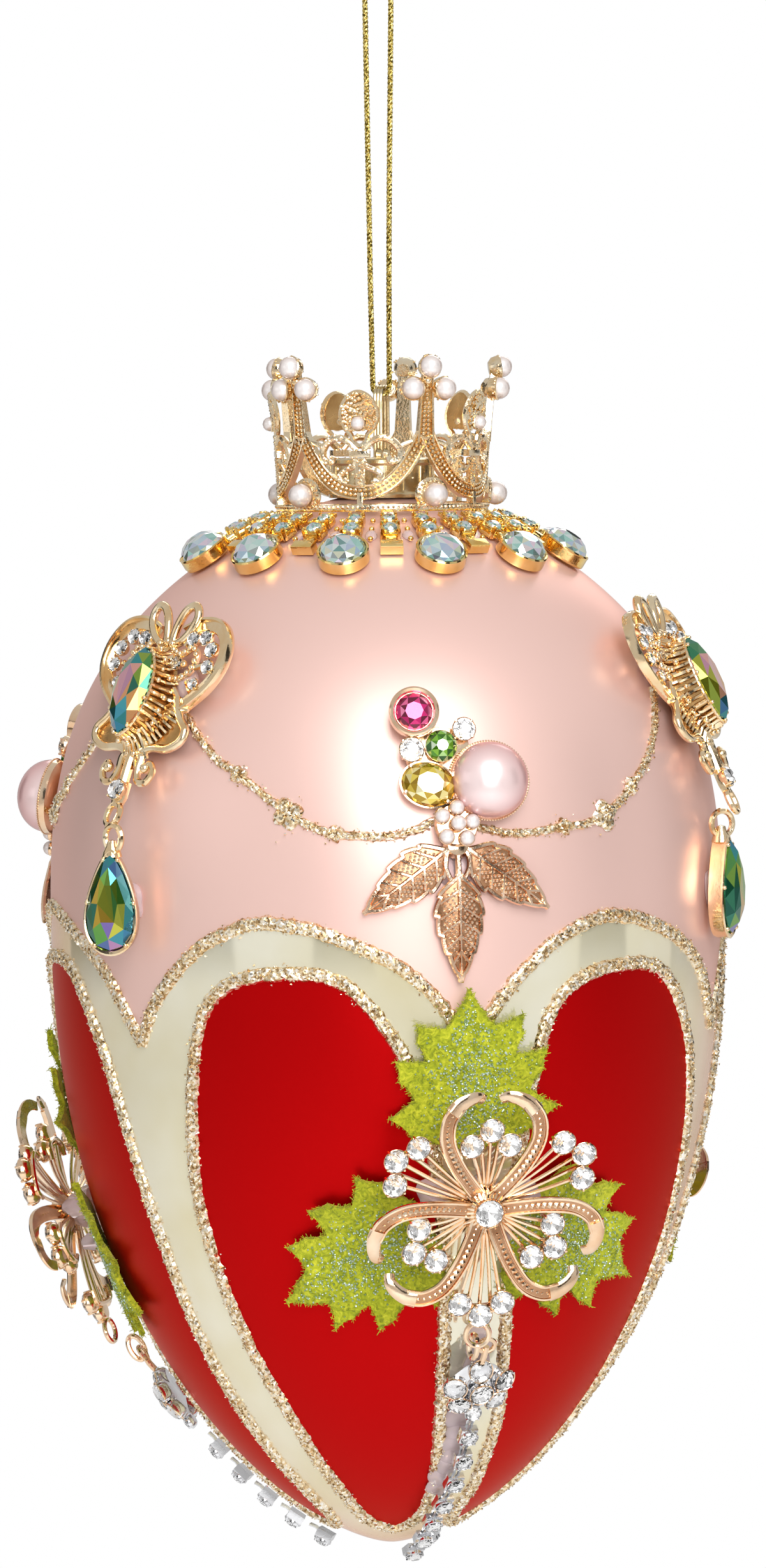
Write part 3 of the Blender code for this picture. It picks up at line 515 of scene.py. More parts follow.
def glue(tray, place, width, length, tall, look, *bends):
    """A lump of hot glue, flat below and rounded above."""
    lump = turned([(0, 1.0), (0.5, 0.9), (0.85, 0.55), (1.0, 0.12), (0.96, -0.1), (0, -0.15)], 24)
    lump.points = lump.points * (width / 2, length / 2, tall)
    wave = np.array([noise.noise(Vector(point) * 0.45 + Vector(place.translation) * 0.2) for point in lump.points])
    lump.points += lump.points * (0.25 * wave[:, None])
    tray.put(lump, place, *bends, look=look)
# %% [markdown]
# ## Finishes
#
# Each finish is one Principled shader. What is the same all over is typed on its own socket, and only
# colour, roughness and bump come from nodes, so that the same look survives in other programs.

# %% A helper for finishes
def finish(name, colour, roughness, metallic=0.0, **plain):
    """A material with one shader; plain values go to sockets, written with underscores."""
    made = bpy.data.materials.new(name)
    made.use_nodes = True
    shader = made.node_tree.nodes["Principled BSDF"]
    values = {"Base Color": (*colour, 1), "Roughness": roughness, "Metallic": metallic}
    values.update({key.replace("_", " "): value for key, value in plain.items()})
    for socket, value in values.items():
        shader.inputs[socket].default_value = value
    return made


def add(made, kind, **values):
    """A node of a kind, with its input values by name and its settings by attribute."""
    node = made.node_tree.nodes.new("ShaderNode" + kind)
    for key, value in values.items():
        if key[0].isupper():
            node.inputs[key.replace("_", " ")].default_value = value
        else:
            setattr(node, key, value)
    return node


def link(made, source, target):
    made.node_tree.links.new(source, target)


def shader_of(made):
    return made.node_tree.nodes["Principled BSDF"]


def speckle(made, kind="Noise", scale=300.0, **values):
    """A pattern on object coordinates, its factor or distance as the output."""
    where = add(made, "TexCoord")
    pattern = add(made, "Tex" + kind, Scale=scale, **values)
    link(made, where.outputs["Object"], pattern.inputs["Vector"])
    return pattern


def ramp(made, source, stops, target):
    """Colours by a factor: stops are (place, colour)."""
    shade = add(made, "ValToRGB")
    shade.color_ramp.elements[0].position = stops[0][0]
    shade.color_ramp.elements[0].color = (*stops[0][1], 1)
    shade.color_ramp.elements[1].position = stops[-1][0]
    shade.color_ramp.elements[1].color = (*stops[-1][1], 1)
    for place, colour in stops[1:-1]:
        stop = shade.color_ramp.elements.new(place)
        stop.color = (*colour, 1)
    link(made, source, shade.inputs["Fac"])
    link(made, shade.outputs["Color"], target)
    return shade


def bumpy(made, source, strength, distance):
    bump = add(made, "Bump", Strength=strength, Distance=distance)
    link(made, source, bump.inputs["Height"])
    link(made, bump.outputs["Normal"], shader_of(made).inputs["Normal"])


def between(made, source, low, high, target):
    """Map a factor from 0..1 to a range on a socket."""
    span = add(made, "MapRange")
    span.inputs["To Min"].default_value = low
    span.inputs["To Max"].default_value = high
    link(made, source, span.inputs["Value"])
    link(made, span.outputs["Result"], target)


# %% Gold and silver
def plated(name, deep, pale, roughness, grain=0.15):
    """Thin plating: its tint wanders a little, and it is polished unevenly."""
    made = finish(name, pale, roughness, 1.0)
    clouds = speckle(made, scale=260.0, Detail=3.0)
    ramp(made, clouds.outputs["Fac"], ((0.3, deep), (0.7, pale)), shader_of(made).inputs["Base Color"])
    between(made, clouds.outputs["Fac"], roughness * 0.6, roughness * 1.5, shader_of(made).inputs["Roughness"])
    fine = speckle(made, scale=2400.0, Detail=2.0)
    bumpy(made, fine.outputs["Fac"], grain, 0.0001)
    return made


PALE_GOLD = plated("pale_gold", (0.90, 0.62, 0.33), (1.0, 0.84, 0.58), 0.11)
YELLOW_GOLD = plated("yellow_gold", (0.86, 0.54, 0.14), (1.0, 0.78, 0.36), 0.10)
ROSE_GOLD = plated("rose_gold", (0.88, 0.56, 0.33), (1.0, 0.80, 0.59), 0.12)
LEAF_GOLD = plated("leaf_gold", (0.82, 0.52, 0.33), (0.98, 0.76, 0.58), 0.16, grain=0.3)
# The deep rose and deep gold are painted shade: darker copies of rose and cast gold, laid in grooves, hollows and under
# wires.
ROSE_GOLD_PAINTED_SHADE = plated("rose_gold_painted_shade", (0.40, 0.20, 0.10), (0.62, 0.36, 0.21), 0.26)
GOLD_PAINTED_SHADE = plated("gold_painted_shade", (0.48, 0.26, 0.09), (0.72, 0.46, 0.20), 0.24)
SILVER = plated("silver_plate", (0.66, 0.66, 0.68), (0.90, 0.91, 0.93), 0.12)
CAST_GOLD = plated("cast_pale_gold", (0.92, 0.66, 0.36), (1.0, 0.89, 0.68), 0.13, grain=0.5)

# %% [markdown]
# The stones are foil-backed glass. Clear ones let light through to the metal cup behind, where it is
# thrown back by the facets. The many-coloured ones are coated at the back in patches of green, gold, pink
# and blue: each facet shows its own patch, so the colour is read from the tone of each face. On the brooch
# and pendant stones the patches also hold painted light: pale highlights and dark shade laid where they fall.

# %% Stones and pearls
CLEAR = finish("clear_crystal", (1.0, 1.0, 1.0), 0.0, 0.0, Transmission_Weight=1.0, IOR=1.6)
FOIL = finish("mirror_foil", (0.98, 0.98, 0.99), 0.16, 1.0)


def tone_coloured(name, stops, roughness, metallic, **plain):
    made = finish(name, stops[0][1], roughness, metallic, **plain)
    tone = add(made, "Attribute", attribute_name="tone")
    ramp(made, tone.outputs["Fac"], stops, shader_of(made).inputs["Base Color"])
    return made


RAINBOW = tone_coloured(
    "rainbow_coated_crystal",
    ((0.0, (0.16, 0.34, 0.33)), (0.2, (0.45, 0.78, 0.70)), (0.4, (0.86, 0.95, 0.92)), (0.55, (0.42, 0.62, 0.80)),
     (0.7, (0.90, 0.72, 0.84)), (0.85, (0.80, 0.90, 0.58)), (1.0, (0.30, 0.36, 0.46))), 0.04, 0.85, Coat_Weight=1.0, Coat_Roughness=0.02)
VITRAIL = tone_coloured(
    "many_coloured_crystal",
    ((0.0, (0.005, 0.10, 0.07)), (0.18, (0.01, 0.20, 0.12)), (0.34, (0.10, 0.34, 0.04)), (0.48, (0.50, 0.46, 0.02)),
     (0.6, (0.80, 0.36, 0.04)), (0.7, (0.80, 0.40, 0.42)), (0.8, (0.22, 0.10, 0.42)), (0.9, (0.02, 0.16, 0.36)),
     (1.0, (0.02, 0.28, 0.30))), 0.04, 0.85, Coat_Weight=1.0, Coat_Roughness=0.02)
# The ruby, yellow and green glass run from dark through their own colour to pale: the dark end is painted shade and the
# pale end painted highlight on the facets.
RUBY = tone_coloured(
    "ruby_glass", ((0.0, (0.16, 0.0, 0.03)), (0.35, (0.50, 0.0, 0.12)), (0.75, (0.80, 0.01, 0.20)), (1.0, (0.95, 0.30, 0.50))),
    0.04, 0.65, Coat_Weight=1.0, Coat_Roughness=0.02)
OLIVE = tone_coloured(
    "yellow_glass", ((0.0, (0.20, 0.09, 0.0)), (0.35, (0.56, 0.36, 0.0)), (0.7, (0.86, 0.66, 0.08)), (1.0, (0.97, 0.88, 0.50))),
    0.04, 0.65, Coat_Weight=1.0, Coat_Roughness=0.02)
GREEN = tone_coloured(
    "green_glass", ((0.0, (0.015, 0.09, 0.0)), (0.4, (0.10, 0.34, 0.01)), (0.75, (0.30, 0.62, 0.05)), (1.0, (0.80, 0.95, 0.70))),
    0.04, 0.65, Coat_Weight=1.0, Coat_Roughness=0.02)


def pearl(name, body, edge):
    """Pearl lacquer over glass: a soft body and a slightly stronger tint where it turns away."""
    made = finish(name, body, 0.30, 0.45, Coat_Weight=0.6, Coat_Roughness=0.06)
    turn = add(made, "LayerWeight", Blend=0.5)
    ramp(made, turn.outputs["Facing"], ((0.0, body), (0.75, edge)), shader_of(made).inputs["Base Color"])
    return made


WHITE_PEARL = pearl("white_pearl", (0.94, 0.90, 0.89), (0.74, 0.60, 0.54))
PINK_PEARL = pearl("pink_pearl", (0.93, 0.76, 0.75), (0.72, 0.36, 0.35))
GLUE = finish("clear_glue", (0.96, 0.80, 0.83), 0.14, 0.0, Transmission_Weight=0.55, IOR=1.45)
print("finishes:", len(bpy.data.materials))
# %% [markdown]
# ## The glass and its lacquers
#
# The egg is turned from its profile. Its zones follow outlines drawn on the glass: a scalloped edge
# where the pink ends, and six petals like the halves of hearts. Cutting the mesh along them would leave
# ragged triangles, so every vertex instead stores how far it is from each outline, in millimetres, and
# the material switches lacquer where that distance passes zero.

# %% Outlines on the glass
PETALS = 6
PETAL_TURN = -30.0            # middle of the first petal, in degrees
# (degrees from the petal's middle, height above the widest circle)
PETAL_OUTLINE = (
    (-18.9, -21.9), (-16.9, -14.1), (-13.5, -9.2), (-7.7, -6.4), (0.5, -5.6), (7.4, -6.6), (12.1, -10.2),
    (15.9, -15.1), (19.3, -20.9), (22.4, -30.5), (24.6, -41.0), (26.3, -52.0), (27.2, -62.9), (28.2, -73.0),
    (29.6, -82.0), (31.5, -89.5), (33.5, -95.0), (33.0, -100.4), (22.0, -102.9), (9.0, -102.6), (-2.5, -100.2),
    (-6.4, -95.4), (-9.8, -90.3), (-12.8, -82.2), (-16.2, -73.7), (-18.4, -65.8), (-20.2, -56.5), (-21.1, -49.0),
    (-21.3, -40.4), (-20.3, -30.8),
)
ARCH_OUTLINE = (
    (-30.0, -18.2), (-27.2, -12.6), (-22.8, -7.2), (-16.9, -2.1), (-11.5, 0.8), (-5.4, 2.5), (1.3, 1.9),
    (8.3, -0.1), (15.8, -3.4), (21.6, -7.5), (26.2, -12.8),
)
LINE_STEP = 0.55              # millimetres between points along a line


def fine_outline(points, middle, steps=14):
    """A closed outline as (radians, height) points, even along the glass."""
    smooth = curve([(x, y, 0) for x, y in points], steps, closed=True)
    return np.array([(radians(middle + point.x), point.y) for point in smooth])


def along_glass(outline, step=LINE_STEP):
    """Even points on the glass along (radians, height) points."""
    places = surface(outline[:, 0], outline[:, 1])[0]
    run = np.concatenate([[0], np.cumsum(np.linalg.norm(np.diff(places, axis=0), axis=1))])
    where = np.linspace(0, run[-1], max(2, round(run[-1] / step)))
    return np.stack([np.interp(where, run, outline[:, 0]), np.interp(where, run, outline[:, 1])], axis=1)


petals = []
for number in range(PETALS):
    outline = fine_outline(PETAL_OUTLINE, PETAL_TURN + 360 / PETALS * number)
    petals.append(along_glass(np.vstack([outline, outline[:1]])))
scallop = []
for number in range(PETALS):
    middle = PETAL_TURN + 360 / PETALS * number
    arc = curve([(x, y, 0) for x, y in (*ARCH_OUTLINE, (30.0, -18.2))], 12)
    scallop.append(along_glass(np.array([(radians(middle + point.x), point.y) for point in arc])))
print("petal line:", len(petals[0]), "points; arch:", len(scallop[0]))

# %% The glass, with its distances to the outlines
GLASS_SIDES = 400
GLASS_RINGS = 236
CLOSE = 6.0                   # distances are measured up to this far from a line, in millimetres


def distance_to(points, line):
    """Distance of each point from a polyline, in 3-D."""
    nearest = np.full(len(points), CLOSE)
    low, high = line.min(axis=0) - CLOSE, line.max(axis=0) + CLOSE
    near = np.where(np.all((points > low) & (points < high), axis=1))[0]
    for part in np.array_split(near, max(1, len(near) // 4000)):
        gaps = points[part][:, None, :] - line[None, :-1]
        runs = line[1:] - line[:-1]
        share = np.clip((gaps * runs).sum(-1) / np.maximum((runs ** 2).sum(-1), 1e-9), 0, 1)
        away = np.linalg.norm(gaps - share[..., None] * runs, axis=-1).min(axis=1)
        nearest[part] = np.minimum(nearest[part], away)
    return nearest


def inside(turns, heights, outline):
    """Whether (radians, height) points lie in a closed outline, by counting crossings."""
    middle = (outline[:, 0].min() + outline[:, 0].max()) / 2
    x = (turns - middle + pi) % (2 * pi) - pi + middle
    found = np.zeros(len(x), dtype=bool)
    for (x0, y0), (x1, y1) in zip(outline, np.roll(outline, -1, axis=0)):
        crossing = (y0 > heights) != (y1 > heights)
        found ^= crossing & (x < (x1 - x0) * (heights - y0) / (y1 - y0 + 1e-12) + x0)
    return found


def glass():
    tall = np.sin(np.linspace(pi / 2, -pi / 2, GLASS_RINGS + 1))
    heights = np.where(tall > 0, tall * EGG_TOP, tall * EGG_BOTTOM)
    profile = [(0.0 if i in (0, GLASS_RINGS) else float(radius_at(h)), float(h)) for i, h in enumerate(heights)]
    tray = Tray("glass")
    tray.put(turned(profile, GLASS_SIDES))
    points = tray.points[0]
    turns = np.arctan2(points[:, 0], -points[:, 1])
    petal = np.full(len(points), -CLOSE)
    edge = np.full(len(points), CLOSE)
    for outline in petals:
        line = surface(outline[:, 0], outline[:, 1])[0]
        away = distance_to(points, line)
        within = inside(turns, points[:, 2], outline[::3])
        petal = np.maximum(petal, np.where(within, away, -away))
    for arc in scallop:
        edge = np.minimum(edge, distance_to(points, surface(arc[:, 0], arc[:, 1])[0]))
    share = (np.degrees(turns) - PETAL_TURN + 180 / PETALS) % (360 / PETALS) - 180 / PETALS
    arc_x = [x for x, _ in ARCH_OUTLINE] + [30.0]
    arc_y = [y for _, y in ARCH_OUTLINE] + [-18.2]
    below = points[:, 2] < np.interp(share, arc_x, arc_y)
    piece = tray.make([LACQUER], "lacquered_glass", "glass_egg", crease=180.0)
    for name, values in (("petal", petal), ("below", np.where(below, edge, -edge))):
        piece.data.attributes.new(name, "FLOAT", "POINT").data.foreach_set("value", values)


def egg_lacquer():
    """Satin pink above, matte red in the petals, mirror gilt between, each with its own roughness."""
    made = finish("egg_lacquer", (1, 1, 1), 0.3, 0.0, Specular_IOR_Level=0.3,
                  Specular_Tint=(1.0, 0.62, 0.52, 1))
    shader = shader_of(made)

    def mask(attribute):
        here = add(made, "Attribute", attribute_name=attribute)
        step = add(made, "MapRange")
        step.inputs["From Min"].default_value = -0.06
        step.inputs["From Max"].default_value = 0.06
        link(made, here.outputs["Fac"], step.inputs["Value"])
        return step.outputs["Result"]

    below, petal = mask("below"), mask("petal")

    def layered(kind, pink, gilt, red, socket):
        first = add(made, "Mix", data_type=kind)
        second = add(made, "Mix", data_type=kind)
        names = {"FLOAT": (2, 3, 0), "RGBA": (6, 7, 2)}[kind]
        for mix, low, high, fac in ((first, pink, gilt, below), (second, first.outputs[names[2]], red, petal)):
            link(made, fac, mix.inputs[0])
            for place, value in ((names[0], low), (names[1], high)):
                if isinstance(value, bpy.types.NodeSocket):
                    link(made, value, mix.inputs[place])
                else:
                    mix.inputs[place].default_value = value
        link(made, second.outputs[names[2]], shader.inputs[socket])

    clouds = speckle(made, scale=38.0, Detail=3.0)
    gilt = add(made, "ValToRGB")
    gilt.color_ramp.elements[0].position = 0.32
    gilt.color_ramp.elements[0].color = (0.84, 0.77, 0.52, 1)
    gilt.color_ramp.elements[1].position = 0.62
    gilt.color_ramp.elements[1].color = (0.93, 0.90, 0.74, 1)
    link(made, clouds.outputs["Fac"], gilt.inputs["Fac"])
    layered("RGBA", (0.85, 0.585, 0.525, 1), gilt.outputs["Color"], (0.53, 0.0005, 0.002, 1), "Base Color")
    layered("FLOAT", 0.39, 0.06, 0.38, "Roughness")
    layered("FLOAT", 0.50, 0.62, 0.80, "Metallic")
    return made


LACQUER = egg_lacquer()
glass()

# %% [markdown]
# ## Glitter lines
#
# Each line is a bead of clear glue that glitter was shaken onto. A raised ragged band is built first,
# as a strip whose points are nudged at random, and its small flat facets already sparkle. Thousands of
# loose grains, each with four faces, are then half sunk into it.

# %% Lines of glitter
rng = np.random.default_rng(7)
LINE_WIDTH = 2.5
SWAG_WIDTH = 1.55
LINE_RISE = 0.75
GRAIN = 0.42


def glitter_finish():
    made = finish("champagne_glitter", (0.8, 0.66, 0.48), 0.25, 1.0)
    cells = speckle(made, "Voronoi", scale=2600.0)
    split = add(made, "SeparateColor")
    link(made, cells.outputs["Color"], split.inputs[0])
    ramp(made, split.outputs[0], ((0.0, (0.30, 0.18, 0.07)), (0.3, (0.72, 0.52, 0.28)), (0.6, (0.92, 0.78, 0.54)),
                                  (1.0, (1.0, 0.97, 0.90))), shader_of(made).inputs["Base Color"])
    between(made, split.outputs[1], 0.12, 0.5, shader_of(made).inputs["Roughness"])
    bumpy(made, cells.outputs["Color"], 0.35, 0.0002)
    return made


def glitter_band(tray, line, width, closed=False):
    """A ragged raised strip along (radians, height) points."""
    places, out = surface(line[:, 0], line[:, 1])
    if closed:
        along = np.roll(places, -1, axis=0) - np.roll(places, 1, axis=0)
    else:
        along = np.gradient(places, axis=0)
    along /= np.linalg.norm(along, axis=1)[:, None]
    across = np.cross(along, out)
    shares = np.array([-1.0, -0.72, -0.36, 0.0, 0.36, 0.72, 1.0])
    rises = LINE_RISE * np.sqrt(np.clip(1 - shares ** 2, 0, 1)) * (0.6 + 0.4 * width / LINE_WIDTH)
    wide = width / 2 * (1 + rng.normal(0, 0.10, (len(line), 2)))
    rings = []
    for k, (share, rise) in enumerate(zip(shares, rises)):
        reach = share * wide[:, 0 if share < 0 else 1]
        lift = rise + rng.normal(0, 0.10, len(line)) * (rise > 0) - 0.12 * (rise == 0)
        slide = rng.normal(0, 0.09, len(line))
        rings.append(places + across * reach[:, None] + out * lift[:, None] + along * slide[:, None])
    rings.append(places - out * 0.35)
    tray.put(loft(np.stack(rings, axis=1), closed, smooth=False))
    return places, out, across


def grain_shape():
    made = bmesh.new()
    bmesh.ops.create_cone(made, cap_ends=True, segments=3, radius1=GRAIN * 0.6, radius2=0, depth=GRAIN * 0.7)
    return Shape(made, smooth=False)


def random_frames(count, sizes):
    """Random turns, as 4 by 4 frames, with a size each."""
    quats = rng.normal(size=(count, 4))
    quats /= np.linalg.norm(quats, axis=1)[:, None]
    w, x, y, z = quats.T
    turns = np.stack([
        1 - 2 * (y * y + z * z), 2 * (x * y - z * w), 2 * (x * z + y * w),
        2 * (x * y + z * w), 1 - 2 * (x * x + z * z), 2 * (y * z - x * w),
        2 * (x * z - y * w), 2 * (y * z + x * w), 1 - 2 * (x * x + y * y)], axis=1).reshape(-1, 3, 3)
    frames = np.zeros((count, 4, 4))
    frames[:, :3, :3] = turns * np.asarray(sizes)[:, None, None]
    frames[:, 3, 3] = 1
    return frames


def sprinkle(tray, grain, places, out, across, width, per_mm):
    """Grains strewn over a band, thicker in the middle."""
    count = int(len(places) * LINE_STEP * per_mm)
    where = rng.integers(0, len(places), count)
    share = np.clip(rng.normal(0, 0.5, count), -1.25, 1.25)
    rise = LINE_RISE * np.sqrt(np.clip(1 - share ** 2, 0, 1)) * (0.6 + 0.4 * width / LINE_WIDTH)
    frames = random_frames(count, rng.uniform(0.6, 1.15, count))
    frames[:, :3, 3] = (places[where] + across[where] * (share * width / 2)[:, None] + out[where] * rise[:, None]
                        + rng.normal(0, 0.12, (count, 3)))
    tray.scatter(grain, frames)


GLITTER = glitter_finish()
grain = grain_shape()
lines = Tray("glitter_lines")
for line in petals:
    band = glitter_band(lines, line[:-1], LINE_WIDTH, closed=True)
    sprinkle(lines, grain, *band, LINE_WIDTH, 7.0)
for line in scallop:
    band = glitter_band(lines, line, LINE_WIDTH)
    sprinkle(lines, grain, *band, LINE_WIDTH, 7.0)
lines.make([GLITTER], "lacquered_glass")

# %% Swags drawn between the jewels
SWAG_COPIES = 3
# (degrees, height): a hanging line from one brooch past the spray to the next
SWAG_LINE = (
    (-54.5, 36.5), (-52.0, 34.6), (-48.5, 31.6), (-44.5, 28.6), (-40.0, 26.3), (-35.5, 23.4), (-30.7, 20.4),
    (-26.6, 18.2), (-22.6, 17.0), (-18.0, 16.6), (-13.0, 16.6), (-9.0, 17.6), (-5.4, 19.2), (-2.0, 19.0),
    (4.0, 17.0), (10.0, 16.6), (16.7, 17.4), (21.0, 17.6), (25.5, 18.9), (29.0, 20.8), (32.4, 23.2),
    (37.0, 26.4), (41.9, 30.7), (45.5, 34.6), (48.5, 38.5),
)
KNOTS = ((-40.0, 26.3, 1.5), (-30.7, 20.2, 2.5), (-22.6, 17.0, 1.4), (16.7, 17.4, 1.4), (25.5, 18.9, 2.5), (32.4, 23.2, 1.5))

swags = Tray("glitter_swags")
for copy in range(SWAG_COPIES):
    shift = 360 / SWAG_COPIES * copy
    arc = curve([(x, y, 0) for x, y in SWAG_LINE], 10)
    line = along_glass(np.array([(radians(point.x + shift), point.y) for point in arc]))
    band = glitter_band(swags, line, SWAG_WIDTH)
    sprinkle(swags, grain, *band, SWAG_WIDTH * 1.3, 6.0)
    for angle, height, reach in KNOTS:
        for turn in (20, 110, 200, 290):
            place = on_glass(angle + shift, height)
            blob = turned([(0, 0.8), (reach * 0.34, 0.65), (reach * 0.56, 0.1), (0, -0.3)], 9, smooth=False)
            blob.points += rng.normal(0, 0.09, blob.points.shape)
            swags.put(blob, shifted(reach * 0.55 * cos(radians(turn)), reach * 0.55 * sin(radians(turn))), place)
        count = int(26 * reach)
        frames = random_frames(count, rng.uniform(0.6, 1.1, count))
        spots = np.stack([rng.normal(0, reach * 0.5, count), rng.normal(0, reach * 0.5, count),
                          rng.uniform(0.1, 0.8, count)], axis=1)
        frames[:, :3, 3] = on_glass(angle + shift, height)(spots)
        swags.scatter(grain, frames)
swags.make([GLITTER], "lacquered_glass")
# %% [markdown]
# ## Cap, hanger and cord
#
# A stamped cap closes the egg's neck, and a loop of ribbed wire stands on it. The cord is metal thread in
# three strands laid round each other. A twisted cord is three thin tubes that follow one route, each
# turned a third further round it.

# %% Cap and hanger
CAP = 9.0                                     # radius
cap_low, cap_high = (corner[2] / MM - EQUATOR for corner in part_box("cap"))
hanger_low, hanger_high = (corner[2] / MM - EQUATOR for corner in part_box("hanger"))
HANGER_TURN = 62.0
HANGER_LEGS = 5.0


def cap_and_hanger():
    tray = Tray("cap_fitting")
    skirt = turned([
        (CAP - 1.0, cap_low + 0.1), (CAP, cap_low + 0.1), (CAP + 0.05, cap_low + 0.7), (CAP - 0.35, cap_low + 1.1),
        (CAP - 0.35, cap_high - 1.3), (CAP, cap_high - 0.9), (CAP, cap_high - 0.35), (CAP - 0.5, cap_high),
        (1.6, cap_high), (0, cap_high - 0.4), (0, cap_high - 1.0), (CAP - 1.0, cap_high - 1.2)], 64)
    tray.put(skirt)
    stud = ball(0.55, 1)
    flute = plate([(-0.16, -2.0), (0.16, -2.0), (0.16, 2.0), (-0.16, 2.0)], -0.15, 0.22, 0.1, steps=1)
    middle = (cap_low + cap_high) / 2
    for i in range(32):
        turn = 2 * pi * i / 32
        frame_here = Matrix(((cos(turn), 0, sin(turn)), (sin(turn), 0, -cos(turn)), (0, 1, 0))).to_4x4()
        frame_here.translation = ((CAP - 0.35) * sin(turn), -(CAP - 0.35) * cos(turn), middle)
        tray.put(flute if i % 2 else stud, frame_here)
    bow = hanger_high - HANGER_LEGS / 2 - 0.6
    upright = Matrix.Rotation(radians(HANGER_TURN), 4, "Z") @ Matrix.Rotation(pi / 2, 4, "X")
    path = [(-HANGER_LEGS / 2, hanger_low - 0.2), (-HANGER_LEGS / 2, bow)]
    path += [(-HANGER_LEGS / 2 * cos(pi * i / 12), bow + HANGER_LEGS / 2 * sin(pi * i / 12)) for i in range(1, 12)]
    path += [(HANGER_LEGS / 2, bow), (HANGER_LEGS / 2, hanger_low - 0.2)]
    for depth in (-0.52, 0.0, 0.52):
        tray.put(wire([(x, y, depth) for x, y in path], 0.62), upright)
    foot = turned([(0, 0.9), (1.2, 0.7), (1.5, 0.0), (0, -0.2)], 16)
    for x in (-HANGER_LEGS / 2, HANGER_LEGS / 2):
        tray.put(foot, upright @ shifted(x, hanger_low - 0.1, 0), )
    tray.make([CAP_METAL], "pale_gold", "cap", "hanger")


CAP_METAL = plated("cap_metal", (0.52, 0.40, 0.22), (0.80, 0.68, 0.44), 0.2)
cap_and_hanger()

# %% The cord
CORD_DIAMETER = 1.0
CORD_STRANDS = 3
STRAND = 0.50                                 # thickness of one strand
LAY = 2.3                                     # millimetres of cord in which a strand goes once round
# The route, as the construction model has it: (x, y, height below the hook) in millimetres
CORD_ROUTE = (
    (-0.22, 0.12, -74.55), (-0.85, 0.44, -74.25), (-1.22, 0.64, -73.45), (-1.27, 0.66, -72.2), (-1.32, 0.62, -70.0),
    (-1.50, 0.40, -62.0), (-1.66, 0.20, -54.0), (-1.78, 0.0, -45.0), (-1.90, 0.0, -35.0), (-2.00, 0.0, -25.0),
    (-2.10, 0.0, -15.0), (-2.16, 0.0, -9.0), (-2.18, 0.0, -5.0), (-2.02, 0.0, -2.9), (-1.45, 0.0, -1.35),
    (-0.60, 0.0, -0.62), (0.25, 0.0, -0.50), (1.15, 0.0, -0.85), (1.95, 0.0, -1.85), (2.35, 0.0, -3.30),
    (2.40, 0.0, -5.5), (2.32, 0.0, -10.0), (2.14, 0.0, -20.0), (1.95, 0.0, -30.0), (1.76, 0.0, -40.0),
    (1.58, -0.15, -50.0), (1.42, -0.40, -60.0), (1.30, -0.62, -69.0), (1.27, -0.66, -72.2), (1.22, -0.64, -73.45),
    (0.85, -0.44, -74.25), (0.22, -0.12, -74.55),
)


def metal_thread():
    made = finish("gold_thread", (0.6, 0.45, 0.1), 0.32, 0.9)
    wraps = speckle(made, "Noise", scale=2600.0, Detail=2.0)
    ramp(made, wraps.outputs["Fac"], ((0.40, (0.10, 0.07, 0.01)), (0.5, (0.55, 0.41, 0.08)),
                                      (0.6, (0.90, 0.76, 0.34))), shader_of(made).inputs["Base Color"])
    bumpy(made, wraps.outputs["Fac"], 0.6, 0.0002)
    return made


def cord():
    line = spaced(curve(CORD_ROUTE, 20), 0.2)
    along = np.gradient(line, axis=0)
    along /= np.linalg.norm(along, axis=1)[:, None]
    across = np.cross(along, np.array([0.05, 1.0, 0.02]))
    across /= np.linalg.norm(across, axis=1)[:, None]
    other = np.cross(along, across)
    run = np.arange(len(line)) * 0.2
    tray = Tray("hanging_cord")
    reach = CORD_DIAMETER / 2 - STRAND / 2
    for strand in range(CORD_STRANDS):
        turn = 2 * pi * (run / LAY + strand / CORD_STRANDS)
        path = line + reach * (np.cos(turn)[:, None] * across + np.sin(turn)[:, None] * other)
        path[:, 2] -= EQUATOR
        tray.put(wire(path, STRAND, sides=6, up=(0, 1, 0)))
    piece = tray.make([metal_thread()], "gold_thread", "cord")


cord()
# %% [markdown]
# ## The crown
#
# The crown is one small casting, with sharp beading on its outer face and a smooth back. It is modelled
# flat, as five equal repeats of a pattern on paper, and rolled into a ring by a bend, so that a bar drawn
# straight comes out curved like the real wall.

# %% Crown: sizes and the bend
CROWN_POINTS = 5
CROWN_TURN = 9.7
CROWN_RADIUS = 17.2
CROWN_WALL = 1.3
CROWN_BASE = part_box("crown")[0][2] / MM - EQUATOR
CROWN_FLARE = 1.9
CROWN_FLARE_START = 5.0
CROWN_TALL = 23.0
CROWN_SPLIT = 13.0
CROWN_DIP = 3.2
CROWN_SPAN = 2 * pi * CROWN_RADIUS / CROWN_POINTS
POINT_PEARL = 3.8


def flare(height):
    """How far the casting leans out at a height."""
    return CROWN_FLARE * np.clip((height - CROWN_FLARE_START) / (CROWN_TALL - CROWN_FLARE_START), 0, 2) ** 1.5


def on_crown(angle):
    def bend(points):
        turn = radians(angle) + points[:, 0] / CROWN_RADIUS
        radius = CROWN_RADIUS + points[:, 2] + flare(points[:, 1])
        return np.stack([radius * np.sin(turn), -radius * np.cos(turn), CROWN_BASE + points[:, 1]], axis=1)
    return bend


def upright_at(angle, x, y, z, tip=0.0, swing=0.0):
    """A rigid place on the crown's wall, its z pointing outwards, then tipped up and swung aside."""
    turn = radians(angle) + x / CROWN_RADIUS
    radius = CROWN_RADIUS + z + float(flare(y))
    here = Matrix(((cos(turn), 0, sin(turn)), (sin(turn), 0, -cos(turn)), (0, 1, 0))).to_4x4()
    here.translation = (radius * sin(turn), -radius * cos(turn), CROWN_BASE + y)
    return here @ Matrix.Rotation(radians(-tip), 4, "X") @ Matrix.Rotation(radians(swing), 4, "Y")


